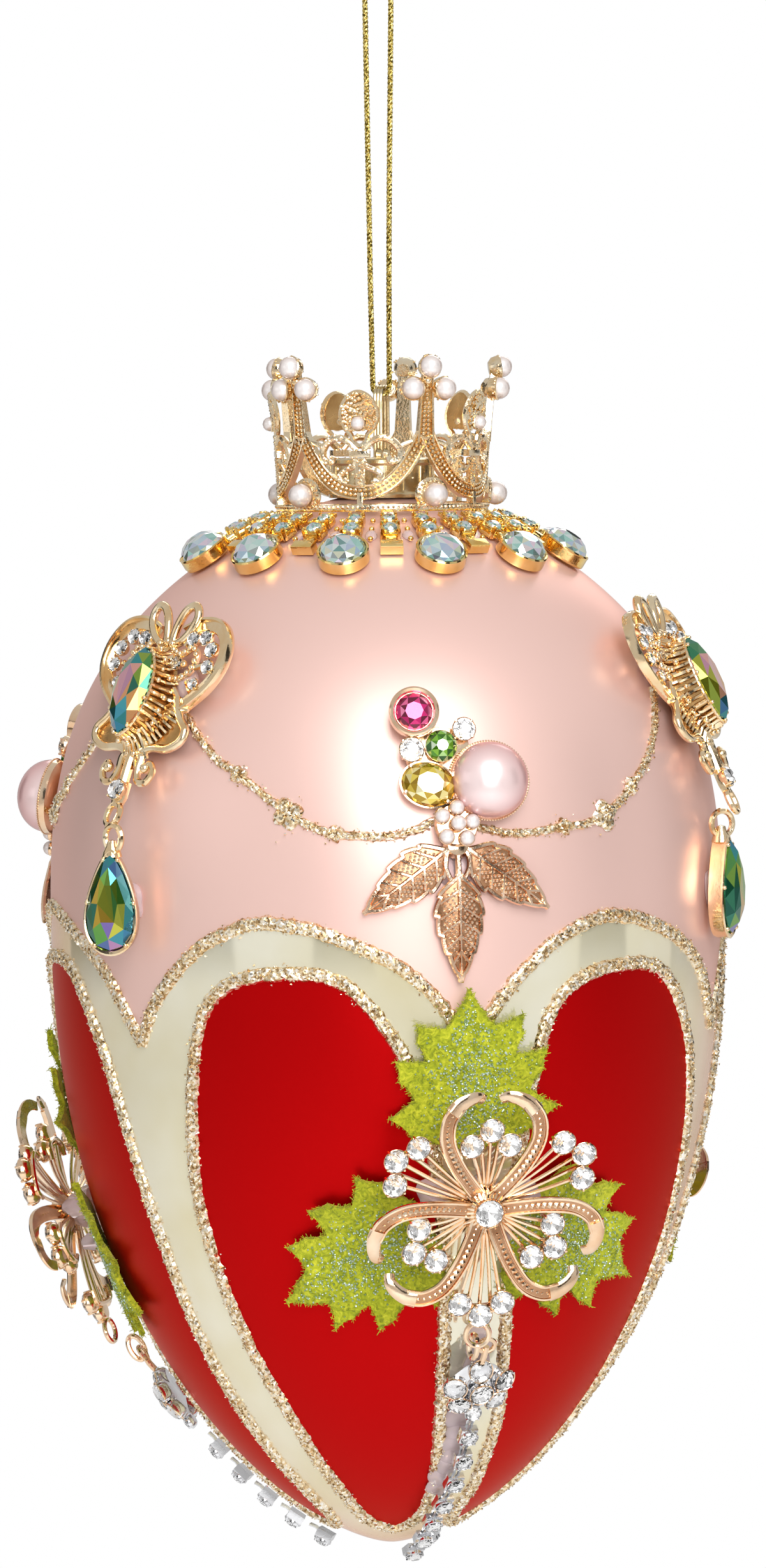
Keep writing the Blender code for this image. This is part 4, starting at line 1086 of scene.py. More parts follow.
def channel(width, thick=1.15, rim=0.3):
    """Section of a beaded bar: a flat back, and a groove between two raised rims."""
    half, low, high = width / 2, -thick / 2, thick / 2
    return [(-half, low), (half, low), (half, high), (half - rim * 0.5, high + 0.12), (half - rim, high),
            (half - rim * 1.1, high - 0.55), (-half + rim * 1.1, high - 0.55), (-half + rim, high),
            (-half + rim * 0.5, high + 0.12), (-half, high)]


def groove_shade_strip(width):
    """Section of a darker strip laid in a groove's floor: painted shade."""
    return [(-width / 2, -0.1), (width / 2, -0.1), (width / 2, 0.09), (-width / 2, 0.09)]


CROWN_BEAD = ball(0.68, 1)
SMALL_BEAD = ball(0.46, 1)


def granulate(tray, place, spots, size=0.46):
    """Fine granulation: small beads set on a face at random heights."""
    for x, y, z in spots:
        tray.put(SMALL_BEAD, Matrix.Translation((x, y, z)) @ Matrix.Scale(size / 0.46 * rng.uniform(0.9, 1.5), 4), place)


def festoon(tray, angle):
    """The U-shaped band from one point to the next, beaded in its groove."""
    place = on_crown(angle)
    path = []
    for i in range(41):
        share = i / 20 - 1
        rise = CROWN_DIP + (CROWN_SPLIT - CROWN_DIP) * abs(share) ** 2.4
        path.append((CROWN_SPAN / 2 * (1 + share * 0.985), rise, 0.0))
    tray.put(sweep(path, channel(2.45)), place)
    # The darker strip in the groove's floor is painted shade.
    tray.put(sweep(path, groove_shade_strip(1.7)), place, look=2)
    for row in (-0.38, 0.38):
        for x, y, _ in spaced(path, 0.82)[1:-1]:
            share = x / (CROWN_SPAN / 2) - 1
            lean = atan2(2.4 * (CROWN_SPLIT - CROWN_DIP) * abs(share) ** 1.4 * (1 if share > 0 else -1), CROWN_SPAN / 2)
            spot = (x - row * sin(lean), y + row * cos(lean), 0.42)
            tray.put(CROWN_BEAD, Matrix.Translation(spot), place)
    post = plate([(-0.5, 0.6), (0.5, 0.6), (0.5, CROWN_DIP), (-0.5, CROWN_DIP)], -0.6, 0.72, 0.12)
    tray.put(post, Matrix.Translation((CROWN_SPAN / 2, 0, 0)), place)


def stem(tray, angle):
    """The beaded stem of a point, widening where the two bands leave it."""
    place = on_crown(angle)
    path = [(0, CROWN_SPLIT - 1.6 + 0.55 * i, 0) for i in range(22)]
    sizes = [1.25 - 0.5 * i / 21 for i in range(22)]
    tray.put(sweep(path, channel(2.3, rim=0.28), sizes=sizes), place)
    # The darker strip in the groove's floor is painted shade.
    tray.put(sweep(path, groove_shade_strip(1.6), sizes=sizes), place, look=2)
    for i in range(14):
        reach = 0.42 - 0.012 * i
        for x in ((-reach, reach) if i < 9 else (0.0,)):
            tray.put(CROWN_BEAD, Matrix.Translation((x, CROWN_SPLIT - 0.8 + 0.72 * i, 0.34 - 0.008 * i)), place)


def pearl_cup(diameter):
    """An open cup with a rolled lip, its axis along z."""
    radius = diameter / 2
    return turned([
        (0, -0.95 * radius), (0.55 * radius, -0.9 * radius), (0.92 * radius, -0.55 * radius), (1.04 * radius, -0.05),
        (1.08 * radius, 0.12 * radius), (1.0 * radius, 0.22 * radius), (0.93 * radius, 0.1 * radius),
        (0.8 * radius, -0.4 * radius), (0, -0.7 * radius)], 22)


POINT_CUP = pearl_cup(POINT_PEARL)
POINT_BALL = ball(POINT_PEARL * 0.98, 3)


def trefoil(tray, angle):
    for x, y, tip, swing in ((0, 24.0, 8, 0), (-2.45, 20.4, 0, -12), (2.45, 20.4, 0, 12)):
        place = upright_at(angle, x, y, 0.75, tip, swing)
        tray.put(POINT_CUP, place)
        tray.put(POINT_BALL, place @ Matrix.Translation((0, 0, 0.45)), look=1)
    tray.put(ball(1.7, 2), upright_at(angle, 0, 21.7, 0.1))
    for i in range(26):
        turn = rng.uniform(0, 2 * pi)
        x, y = ((0, 24.0), (-2.45, 20.4), (2.45, 20.4))[i % 3]
        tray.put(SMALL_BEAD, upright_at(angle, x + 1.95 * cos(turn), y + 1.95 * sin(turn), 0.45))


FLEUR_PETAL = [(0, 10.9), (1.0, 11.6), (1.35, 12.8), (2.1, 13.6), (2.75, 14.9), (2.95, 16.2), (2.55, 17.7), (1.7, 19.0),
               (0.7, 19.7), (0, 19.85)]
KEYHOLE = [(0, 11.7), (0.55, 11.95), (0.85, 12.6), (0.8, 13.3), (0, 13.9)]


def fleur(tray, angle):
    """The lily in a festoon: petal with a pearl, side curls, knot and foot."""
    place = on_crown(angle)
    rim = [(x, y, 0.05) for x, y in FLEUR_PETAL] + [(-x, y, 0.05) for x, y in reversed(FLEUR_PETAL[1:-1])]
    tray.put(wire(curve(rim, 3, closed=True), 0.85, closed=True, sides=6), place)
    # The web behind the granulation is in the darker gold: painted shade.
    web = plate([(x * 0.92, y) for x, y in FLEUR_PETAL[3:]]
                + [(-x * 0.92, y) for x, y in reversed(FLEUR_PETAL[3:-1])], -0.42, 0.25, 0.15)
    tray.put(web, place, look=2)
    spots = []
    while len(spots) < 150:
        x, y = rng.uniform(-2.8, 2.8), rng.uniform(13.6, 19.8)
        if (x / 2.9) ** 2 + ((y - 16.2) / 3.7) ** 2 < 1:
            spots.append((x, y, rng.uniform(0.26, 0.44)))
    granulate(tray, place, spots, 0.56)
    tray.put(FLEUR_CUP, upright_at(angle, 0, 14.7, 0.55))
    tray.put(FLEUR_BALL, upright_at(angle, 0, 14.7, 1.0), look=1)
    for side_of in (1, -1):
        curl = curve([(0.5, 10.2, 0), (1.9, 11.6, 0), (3.6, 12.3, 0), (5.4, 11.7, 0), (6.6, 10.1, 0), (6.3, 8.6, 0),
                      (5.1, 8.3, 0), (4.6, 9.2, 0)], 5)
        curl = [(side_of * x, y, z) for x, y, z in curl]
        sizes = [0.9 + 0.35 * sin(pi * i / (len(curl) - 1)) for i in range(len(curl))]
        tray.put(wire(curl, 1.05, sizes=sizes), place)
        granulate(tray, place, [(x + rng.normal(0, 0.28), y + rng.normal(0, 0.28), 0.42) for x, y, _ in spaced(curl, 0.42)])
        foot = curve([(side_of * 0.5, 8.8, 0), (side_of * 1.0, 7.6, 0), (side_of * 2.4, 6.9, 0), (side_of * 3.5, 6.1, 0),
                      (side_of * 3.3, 5.1, 0), (side_of * 2.2, 5.1, 0)], 5)
        tray.put(wire(foot, 1.0), place)
        granulate(tray, place, [(x + rng.normal(0, 0.3), y + rng.normal(0, 0.3), 0.42) for x, y, _ in spaced(foot, 0.4)])
        twig = curve([(side_of * 6.4, 10.6, 0), (side_of * 7.4, 11.2, 0), (side_of * 8.6, 11.6, 0)], 4)
        tray.put(wire(twig, 0.9), place)
    knot = plate([(-1.7, -0.55), (1.7, -0.55), (1.7, 0.55), (-1.7, 0.55)], -0.6, 0.75, 0.2)
    tray.put(knot, Matrix.Translation((0, 9.6, 0)), place)
    tail = plate([(-0.75, 3.9), (0.75, 3.9), (0.95, 8.8), (-0.95, 8.8)], -0.5, 0.45, 0.15)
    tray.put(tail, place)
    granulate(tray, place, [(rng.uniform(-0.8, 0.8), rng.uniform(4.2, 8.8), 0.48) for _ in range(34)])


FLEUR_CUP = pearl_cup(2.5)
FLEUR_BALL = ball(2.45, 2)
BASE_PEARL = 4.0
BASE_CUP = turned([(0, -2.3), (1.6, -2.2), (2.3, -1.5), (2.42, -0.5), (2.1, 0.15), (1.85, 0.1), (1.6, -0.9), (0, -1.3)], 24)
BASE_BALL = ball(BASE_PEARL, 3)


def base_pearl(tray, angle):
    """A pearl in a domed cup that leans out at the foot of the crown, on a granulated bracket."""
    place = upright_at(angle, 0, 2.9, 0.55, -6)
    tray.put(BASE_CUP, place @ Matrix.Translation((0, 0, 0.6)))
    tray.put(BASE_BALL, place @ Matrix.Translation((0, 0, 1.75)), look=1)
    bracket = turned([(0, -0.6), (2.7, -0.5), (3.1, 0.0), (2.6, 0.45), (0, 0.7)], 20)
    tray.put(bracket, place @ Matrix.Scale(0.9, 4, (0, 1, 0)))
    for i in range(18):
        turn = 2 * pi * i / 18
        tray.put(CROWN_BEAD, place @ Matrix.Translation((2.55 * cos(turn), 2.3 * sin(turn), 0.35)))


def crown():
    tray = Tray("cast_crown")
    inner, outer = CROWN_RADIUS - CROWN_WALL / 2, CROWN_RADIUS + CROWN_WALL / 2
    ring = turned([(inner, CROWN_BASE), (outer, CROWN_BASE), (outer + 0.15, CROWN_BASE + 0.5), (outer, CROWN_BASE + 1.15),
                   (inner + 0.3, CROWN_BASE + 1.3), (inner, CROWN_BASE + 1.1)], 120)
    tray.put(ring)
    for i in range(130):
        tray.put(CROWN_BEAD, upright_at(360 * i / 130, 0, 0.75, CROWN_WALL / 2))
    for i in range(CROWN_POINTS):
        angle = CROWN_TURN + 360 / CROWN_POINTS * i
        festoon(tray, angle)
        stem(tray, angle)
        trefoil(tray, angle)
        fleur(tray, angle + 180 / CROWN_POINTS)
        base_pearl(tray, angle + 3.5)
    tray.make([CAST_GOLD, WHITE_PEARL, GOLD_PAINTED_SHADE], "pale_gold", "crown")


crown()
# %% [markdown]
# ## The collar
#
# The collar is cup chain: stones in little square settings, soldered corner to corner. Twelve rays of it
# run down the shoulder, each ending in a big round stone in a smooth setting, with a plain bar between
# each pair. Every part sits square on the glass under it.

# %% Cup chain and big stones
COLLAR_STONES = 12
COLLAR_TURN = 3.7
ROW_RADII = (20.6, 24.0)
GEM_RADIUS = 30.2
GEM_SETTING = 8.7
GEM_TALL = 2.3
BAR_RADIUS = 28.0


def on_shoulder(angle, radius, lift=0.35, turn=0.0):
    return seat(angle, float(height_of(radius)), lift, turn)


def small_setting(size):
    """A square cup with four corner claws, and room for a stone."""
    half = size / 2
    corner = [(half - 0.45, -half), (half, -half + 0.45), (half, half - 0.45), (half - 0.45, half)]
    return plate(corner + [(-x, y) for x, y in reversed(corner)], 0.0, 1.25, 0.22, steps=2)


COLLAR_CUP = small_setting(2.75)
CLAW = turned([(0, 1.95), (0.26, 1.8), (0.34, 1.3), (0.3, 0.0), (0, 0)], 7)
ROW_STONE = cut_stone(round_outline(2.3), ((0.5, 0.62, 8, 0), (0.82, 0.4, 8, 0.5), (1.0, 0.0, 12, 0), (0.5, -0.4, 6, 0)))
RIM = turned([(1.02, 1.0), (1.32, 1.0), (1.36, 1.35), (1.2, 1.5), (1.05, 1.4)], 20)
GEM = cut_stone(round_outline(7.75), (
    (0.42, 2.15, 8, 0), (0.72, 1.55, 8, 0.5), (0.92, 0.75, 16, 0.0), (1.0, 0.12, 16, 0.5), (0.9, -0.3, 16, 0)))
GEM_CUP = turned([
    (0, 0.0), (4.05, 0.0), (4.3, 0.18), (4.35, 0.5), (4.3, GEM_TALL - 0.35), (4.36, GEM_TALL - 0.12),
    (4.2, GEM_TALL + 0.12), (3.92, GEM_TALL + 0.02), (3.75, GEM_TALL - 0.45), (0, GEM_TALL - 0.6)], 72)
BAR = plate([(-1.9, -1.0), (1.9, -1.0), (1.9, 1.0), (-1.9, 1.0)], 0.0, 1.7, 0.16)
LINK = plate([(-0.32, -1.1), (0.32, -1.1), (0.32, 1.1), (-0.32, 1.1)], 0.15, 0.85, 0.12)


def tones_for(shape):
    """A tone for each facet of a stone, never the same twice in a row."""
    return rng.permutation(np.linspace(0.02, 0.98, len(shape.sizes)))


def set_row_stone(tray, place, size):
    place = place @ Matrix.Scale(size, 4)
    tray.put(COLLAR_CUP, place)
    tray.put(RIM, place)
    for x in (-1.05, 1.05):
        for y in (-1.05, 1.05):
            tray.put(CLAW, place @ Matrix.Translation((x, y, 0)))
    tray.put(ROW_STONE, place @ Matrix.Translation((0, 0, 1.3)), look=1, tone=tones_for(ROW_STONE))


def collar():
    tray = Tray("stone_collar")
    gold_bead = ball(0.95, 2)
    for i in range(2 * COLLAR_STONES):
        angle = COLLAR_TURN + 180 / COLLAR_STONES * i
        for radius in ROW_RADII:
            set_row_stone(tray, on_shoulder(angle, radius, 0.45), 1.0 + 0.055 * (radius - 20))
        for radius in (18.9, 22.3, 25.6):
            for side_of in (-0.55, 0.55):
                place = on_shoulder(angle, radius, 0.5)
                tray.put(LINK, place @ Matrix.Translation((side_of, 0, 0.1)))
        for radius in (19.6, 22.3, 25.2):
            half_way = on_shoulder(angle + 90 / COLLAR_STONES, radius, 0.75)
            tray.put(gold_bead, half_way)
        lump = on_shoulder(angle + 90 / COLLAR_STONES, 23.4, 0.1)
        glue(tray, lump, 2.0, 2.8, 0.7, 2)
        if i % 2 == 0:
            place = on_shoulder(angle, GEM_RADIUS)
            tray.put(GEM_CUP, place)
            tray.put(GEM, place @ Matrix.Translation((0, 0, GEM_TALL - 0.15)), look=1, tone=tones_for(GEM))
            neck = plate([(-0.9, 3.6), (0.9, 3.6), (0.8, 5.6), (-0.8, 5.6)], 0.3, 1.4, 0.2)
            tray.put(neck, place)
        else:
            tray.put(BAR, on_shoulder(angle, BAR_RADIUS))
            foot = plate([(-0.9, 0.6), (0.9, 0.6), (0.8, 3.2), (-0.8, 3.2)], 0.2, 1.0, 0.15)
            tray.put(foot, on_shoulder(angle, BAR_RADIUS))
    nodes = ["collar"] + [f"collar_stone_{i + 1:02d}" for i in range(COLLAR_STONES)]
    tray.make([YELLOW_GOLD, RAINBOW, GLUE], "yellow_gold", *nodes)


collar()
# %% [markdown]
# ## Small crystals
#
# The same little crystal turns up in every jewel, so it is made once at four millimetres and scaled. It
# is a clear crown of facets over a faceted bowl of foil, held in a cup by four claws. Looks on a jewel's
# tray are always metal, clear stone and foil, in that order.

# %% The crystal in its cup
CRYSTAL_SIZE = 4.0
CRYSTAL = cut_stone(round_outline(3.7), ((0.5, 1.05, 8, 0), (0.8, 0.75, 8, 0.5), (1.0, 0.2, 16, 0), (0.99, 0.0, 16, 0)))
BOWL = turned([(1.86, -0.02), (0.9, -0.75), (0, -1.15), (0, -1.35), (1.2, -1.1), (1.9, -0.3)], 9, smooth=False)
CUP = turned([(0, -1.5), (1.3, -1.45), (1.75, -1.0), (1.98, -0.2), (2.02, 0.12), (1.93, 0.2), (1.86, 0.05),
              (1.8, -0.5), (0, -1.38)], 20)
CUP_CLAW = turned([(0, 0.72), (0.2, 0.66), (0.27, 0.4), (0.22, -0.6), (0, -0.6)], 6)


def set_crystal(tray, *places, size=CRYSTAL_SIZE, claws=4, turn=45.0):
    """A crystal at the origin of its places, its edge at their floor."""
    grown = Matrix.Scale(size / CRYSTAL_SIZE, 4) @ Matrix.Rotation(radians(rng.uniform(0, 45)), 4, "Z")
    tray.put(CUP, Matrix.Scale(size / CRYSTAL_SIZE, 4), *places)
    tray.put(CRYSTAL, grown, *places, look=1)
    tray.put(BOWL, grown, *places, look=2)
    for i in range(claws):
        way = radians(turn + 360 / claws * i)
        tray.put(CUP_CLAW, Matrix.Scale(size / CRYSTAL_SIZE, 4)
                 @ Matrix.Translation((1.86 * cos(way), 1.86 * sin(way), 0)), *places)


def facet_light_and_shade_tones(shape, table, low, high):
    """Tones for a coloured stone, as painted light and shade: one for its table, and the facets round it by turns low
    and high, dark as painted shade and pale as painted highlight.
    """
    turns = np.arange(len(shape.sizes)) % 2
    tones = np.clip(np.where(turns, low, high) + rng.normal(0, 0.13, len(turns)), 0, 1)
    parts = np.split(shape.corners, np.cumsum(shape.sizes)[:-1])
    level = [np.ptp(shape.points[part][:, 2]) < 0.01 and shape.points[part][:, 2].mean() > 0.3 for part in parts]
    tones[np.array(level)] = table
    return tones

# %% [markdown]
# ## The jewel brooches
#
# Each is a cast brooch with two crystal-set lobes, two loops on top and a tall basket of wires that lifts
# a pointed stone off the glass. A scrolled foot carries a link, and a teardrop hangs from it. The lobes and
# the foot are bars swept along curves; the ribs of the basket are one wire, repeated round the stone.

# %% Outlines of the brooch
JEWEL_ANGLES = (-61.0, 57.0, 180.0)
JEWEL_HEIGHT = 37.0
JEWEL_FLOOR = 1.9             # middle of the casting above the glass
NAVETTE = (8.2, 15.2)
NAVETTE_SEAT = 6.5
PENDANT_HEIGHT = 5.2
PENDANT_TURNS = (36.0, 0.0, 0.0)
TEARDROP = (10.3, 15.1)
LOBE = curve([(3.2, 12.0, 0), (7.2, 13.6, 0), (11.6, 13.2, 0), (14.2, 10.4, 0), (14.6, 6.8, 0), (13.0, 3.4, 0),
              (10.2, 0.8, 0), (7.2, -1.2, 0), (4.0, -2.0, 0)], 6)
INNER_LOBE = curve([(2.0, 9.0, 0.3), (4.6, 8.2, 0.5), (6.6, 9.4, 0.4), (8.2, 8.4, 0.3), (8.0, 5.6, 0.3), (6.0, 4.0, 0.5),
                    (4.2, 3.6, 0.8)], 6)
TOP_LOOP = curve([(0.9, 10.2, 0.4), (1.2, 13.0, 0.8), (2.6, 15.8, 1.1), (4.7, 16.6, 1.1), (5.8, 14.9, 0.9), (4.9, 12.4, 0.7),
                  (3.0, 10.6, 0.5)], 6, closed=True)
FOOT = curve([(1.0, -9.3, 0), (4.2, -8.2, 0.1), (8.0, -8.3, 0.1), (10.9, -7.0, 0.2), (11.3, -5.0, 0.3), (9.6, -3.4, 0.4),
              (8.2, -1.6, 0.5), (7.2, 0.4, 0.6)], 6)
SCROLL = curve([(0.8, -8.6, 0.2), (2.4, -10.0, 0.1), (2.5, -12.2, 0), (3.4, -14.2, 0), (5.4, -14.2, 0), (6.4, -12.4, 0.1),
                (5.5, -11.1, 0.3), (4.6, -12.0, 0.5)], 6)
# (x, y, size) of the crystals of a lobe
LOBE_CRYSTALS = ((6.3, 10.9, 2.9), (9.4, 11.2, 2.9), (11.7, 9.1, 2.9), (12.0, 6.1, 2.7), (4.0, 6.6, 2.6), (9.9, 3.0, 2.2))


def pointed_oval(width, length):
    """The outline of a navette: two arcs that meet in a blunt point."""
    def outline(share):
        way = 2 * pi * share
        x, y = sin(way), cos(way)
        return x * abs(x) ** 0.12 * width / 2, y * (1 - 0.10 * (1 - abs(y))) * length / 2
    return outline


def drop_outline(width, length):
    """A pear: a round end below, drawn out to a point above."""
    def outline(share):
        way = 2 * pi * share
        taper = 0.5 + 0.5 * cos(way)
        return sin(way) * width / 2 * (1 - 0.6 * taper ** 1.1), (cos(way) + 0.10 * taper - 0.03) * length / 2.05
    return outline


def coating_and_light_tones(shape, patches):
    """Each facet takes the tone of the patch nearest to it: patches are (across, up, tone), -1 to 1. They give the
    coating's colours and painted highlights and shade together.
    """
    parts = np.split(shape.corners, np.cumsum(shape.sizes)[:-1])
    middle = np.array([shape.points[part].mean(axis=0) for part in parts])[:, :2]
    low, high = shape.points.min(axis=0)[:2], shape.points.max(axis=0)[:2]
    share = (middle - low) / (high - low) * 2 - 1 + rng.normal(0, 0.08, middle.shape)
    table = np.array(patches)
    near = ((share[:, None] - table[None, :, :2]) ** 2).sum(axis=2).argmin(axis=1)
    return np.clip(table[near, 2] + rng.normal(0, 0.035, len(near)), 0, 1)


# Patches of coating colour, with painted highlights and shade among them.
NAVETTE_PATCHES = (
    (0.1, 0.85, 0.98), (-0.2, 0.6, 0.20), (0.45, 0.5, 0.36), (-0.4, 0.3, 0.70), (0.1, 0.25, 0.69), (0.65, 0.1, 0.06),
    (-0.15, -0.05, 0.68), (-0.65, -0.05, 0.47), (0.2, -0.3, 0.61), (-0.5, -0.45, 0.40), (0.3, -0.6, 0.98),
    (0.0, -0.85, 0.97), (0.6, -0.35, 0.60))
TEARDROP_PATCHES = (
    (0.0, 0.9, 0.98), (-0.35, 0.5, 0.33), (0.35, 0.5, 0.93), (-0.75, 0.0, 0.20), (-0.2, 0.15, 0.46), (0.2, 0.2, 0.38),
    (0.7, 0.1, 1.0), (-0.65, -0.45, 0.10), (-0.1, -0.25, 0.57), (0.3, -0.3, 0.48), (0.75, -0.35, 0.96),
    (-0.35, -0.8, 0.30), (0.0, -0.88, 0.82), (0.45, -0.8, 0.91))
NAVETTE_STONE = cut_stone(pointed_oval(*NAVETTE), (
    (0.50, 2.3, 6, 0), (0.80, 1.6, 8, 0), (1.0, 0.35, 12, 0), (1.0, -0.25, 12, 0), (0.6, -0.9, 6, 0)))
TEARDROP_STONE = cut_stone(drop_outline(*TEARDROP), (
    (0.45, 2.45, 6, 0.5), (0.76, 1.8, 8, 0), (1.0, 0.55, 14, 0), (1.0, 0.0, 14, 0)))


# %% A brooch
def outline_ring(outline, share, height, count):
    return [(*[share * value for value in outline(i / count)], height) for i in range(count)]


def basket(tray, place):
    """Ribs from the plate up to the stone's edge, a rim on them, and beads in front of it."""
    shape = pointed_oval(*NAVETTE)
    # The core inside the basket is in the darker gold: painted shade behind the ribs.
    core = loft([outline_ring(shape, 1.12, JEWEL_FLOOR - 0.6, 28), outline_ring(shape, 0.98, 3.6, 28),
                 outline_ring(shape, 0.93, NAVETTE_SEAT - 0.4, 28)])
    tray.put(core, place, look=3)
    ribs = 38
    for i in range(ribs):
        x, y = shape((i + 0.5) / ribs)
        spread = 1.32 + 0.10 * (i % 2) + 0.22 * max(0.0, -y / NAVETTE[1] * 2)
        path = [(x * spread, y * spread, JEWEL_FLOOR - 0.3), (x * 1.16, y * 1.12, 3.4),
                (x * 1.05, y * 1.03, 5.4), (x * 1.03, y * 1.01, NAVETTE_SEAT + 0.2)]
        tray.put(wire(curve(path, 3), 0.62 + 0.18 * (i % 3 == 0), sides=5, up=(0.3, 0.2, 1)), place)
    tray.put(wire(outline_ring(shape, 1.03, NAVETTE_SEAT - 0.1, 48), 0.55, closed=True), place)
    bead = ball(1.0, 2)
    for i in range(22):
        x, y = shape((i + 0.5) / 22)
        high = 4.6 + 1.3 * rng.uniform(-1, 1)
        tray.put(bead, place @ Matrix.Translation((x * 1.22, y * 1.14, high)) @ Matrix.Scale(rng.uniform(0.7, 1.15), 4))
    for i in range(8):
        x, y = shape((i + 0.25) / 8)
        tray.put(bead, place @ Matrix.Translation((x * 1.04, y * 1.02, NAVETTE_SEAT + 0.45)) @ Matrix.Scale(0.75, 4))


def brooch(tray, angle):
    place = seat(angle, JEWEL_HEIGHT) @ Matrix.Diagonal((0.95, 1.0, 1.0, 1.0))
    floor_here = place @ Matrix.Translation((0, 0, JEWEL_FLOOR))
    for x, y, wide in ((6.0, 3.6, 4.4), (-6.0, 3.6, 4.4), (4.6, -1.6, 3.6), (-0.6, 6.6, 3.6)):
        glue(tray, place @ Matrix.Translation((x, y, 0.3)), wide, wide * 1.3, 1.9, 5)
    for flip in (Matrix.Identity(4), MIRROR):
        rim = [(-1.25, -0.6), (1.25, -0.6), (1.35, 0.2), (1.2, 0.95), (0.75, 1.0), (0.6, 0.35), (-0.8, 0.3), (-1.1, 0.5),
               (-1.3, 0.3)]
        tray.put(sweep(LOBE, [(-x, y) for x, y in reversed(rim)]), flip, floor_here)
        tray.put(wire(INNER_LOBE, 1.0, sides=7), flip, floor_here)
        tray.put(wire(TOP_LOOP, 1.55, closed=True, sides=10), flip, floor_here)
        tray.put(wire(FOOT, 1.55, sides=10), flip, floor_here)
        tray.put(wire(SCROLL, 1.35, sides=9, sizes=np.linspace(1.1, 0.8, len(SCROLL))), flip, floor_here)
        tray.put(ball(1.9, 2), shifted(4.7, -12.0, 0.5), flip, floor_here)
        for x, y, size in LOBE_CRYSTALS:
            spot = (flip @ Vector((x, y, 0.75)))
            set_crystal(tray, floor_here @ Matrix.Translation(spot), size=size)
        for i, point in enumerate(spaced(INNER_LOBE, 1.25)):
            tray.put(ball(1.05, 2), Matrix.Translation(point + (0, 0, 0.45)), flip, floor_here)
        for points in (((4.2, 9.8, 0.2), (5.4, 12.2, 0.1)), ((8.0, 6.0, 0.2), (10.4, 6.6, 0.2)), ((7.6, 3.6, 0.2), (9.6, 1.6, 0.2)),
                       ((5.0, 2.2, 0.3), (7.0, 0.2, 0.2))):
            tray.put(wire(points, 1.1, sides=7), flip, floor_here)
        # The plate under the wires is in the darker gold: painted shade beneath them.
        wing = plate([(1.0, -8.6), (4.4, -7.9), (8.2, -7.9), (10.6, -6.6), (10.8, -5.2), (8.8, -3.2), (6.6, 0.4), (4.0, 0.6),
                      (1.0, -3.0)], -0.55, 0.1, 0.1)
        tray.put(wing, flip, floor_here, look=3)
        for i in range(9):
            start = Vector((2.0 + 0.62 * i, -6.6 + 0.66 * i, 0.9))
            end = Vector((3.4 + 0.86 * i, -8.0 + 0.42 * i + 0.05 * i * i, 0.1))
            tray.put(wire([start, (start + end) / 2 + Vector((0, 0, 0.35)), end], 0.75, sides=6), flip, floor_here)
    basket(tray, place)
    for x, y, height in ((-6.8, 6.6, 2.6), (-7.4, 4.6, 2.6), (-7.2, 2.4, 2.9), (6.2, 6.4, 2.8), (6.6, 4.2, 2.7), (0, 10.4, 2.8),
                         (-1.6, 9.9, 3.0), (1.6, 9.9, 3.0), (0.8, -9.6, 2.6), (-0.8, -9.6, 2.6)):
        tray.put(ball(1.3, 2), place @ Matrix.Translation((x, y, height)))
    neck = curve([(0, -8.6, 0.1), (0, -11.0, 0.2), (0, -13.5, 0.1), (0, -15.0, 0)], 4)
    tray.put(wire(neck, 1.9, sides=9), floor_here)
    set_crystal(tray, floor_here @ Matrix.Translation((0, -16.1, 1.1)), size=3.7)
    shank = plate([(-1.3, -14.4), (1.3, -14.4), (1.5, -17.0), (0.9, -18.9), (-0.9, -18.9), (-1.5, -17.0)], -0.6, 0.5, 0.25)
    tray.put(shank, floor_here)
    eye = [(1.55 * sin(2 * pi * i / 20), -20.1 + 2.0 * cos(2 * pi * i / 20), 0.0) for i in range(20)]
    tray.put(wire(eye, 1.1, closed=True), floor_here)
    tray.put(NAVETTE_STONE, place @ Matrix.Translation((0, 0, NAVETTE_SEAT)), look=4,
             tone=coating_and_light_tones(NAVETTE_STONE, NAVETTE_PATCHES))


def teardrop(tray, angle, turn):
    """The pendant: a pear-shaped cup with a bright edge, its stone, ring and collar."""
    stand = 0.9 + 5.6 * sin(radians(turn))
    place = seat(angle, PENDANT_HEIGHT, stand) @ Matrix.Rotation(radians(turn), 4, "Y")
    shape = drop_outline(*TEARDROP)
    glue(tray, seat(angle, PENDANT_HEIGHT, 0.1), 5.0, 6.4, 1.5 if turn else 0.7, 5)
    rings = [outline_ring(shape, share, height, 44) for share, height in (
        (0.98, 0.0), (1.09, 0.25), (1.12, 0.9), (1.11, 2.3), (1.13, 2.75), (1.09, 2.98), (1.03, 2.9), (0.99, 2.5))]
    tray.put(loft(rings), place)
    tray.put(TEARDROP_STONE, place @ Matrix.Translation((0, 0, 2.6)), look=4,
             tone=coating_and_light_tones(TEARDROP_STONE, TEARDROP_PATCHES))
    for i in range(6):
        x, y = shape((i + 0.5) / 6)
        tray.put(ball(0.85, 2), place @ Matrix.Translation((x * 1.04, y * 1.04, 3.0)))
    collar_ring = turned([(0, 1.4), (0.75, 1.2), (0.95, 0.4), (1.5, -0.6), (1.7, -1.4), (0, -1.4)], 16)
    tray.put(collar_ring, place @ Matrix.Translation((0, 9.0, 1.5)) @ Matrix.Rotation(-pi / 2, 4, "X"))
    ring = [(0.25, 10.6 + 2.15 * cos(2 * pi * i / 26), 1.6 + 2.15 * sin(2 * pi * i / 26)) for i in range(26)]
    ring = [(x + 0.75 * (z - 1.6), y, 1.6 + 0.62 * (z - 1.6)) for x, y, z in ring]
    tray.put(wire(ring, 1.05, closed=True, up=(0.64, 0, -0.77)), place)


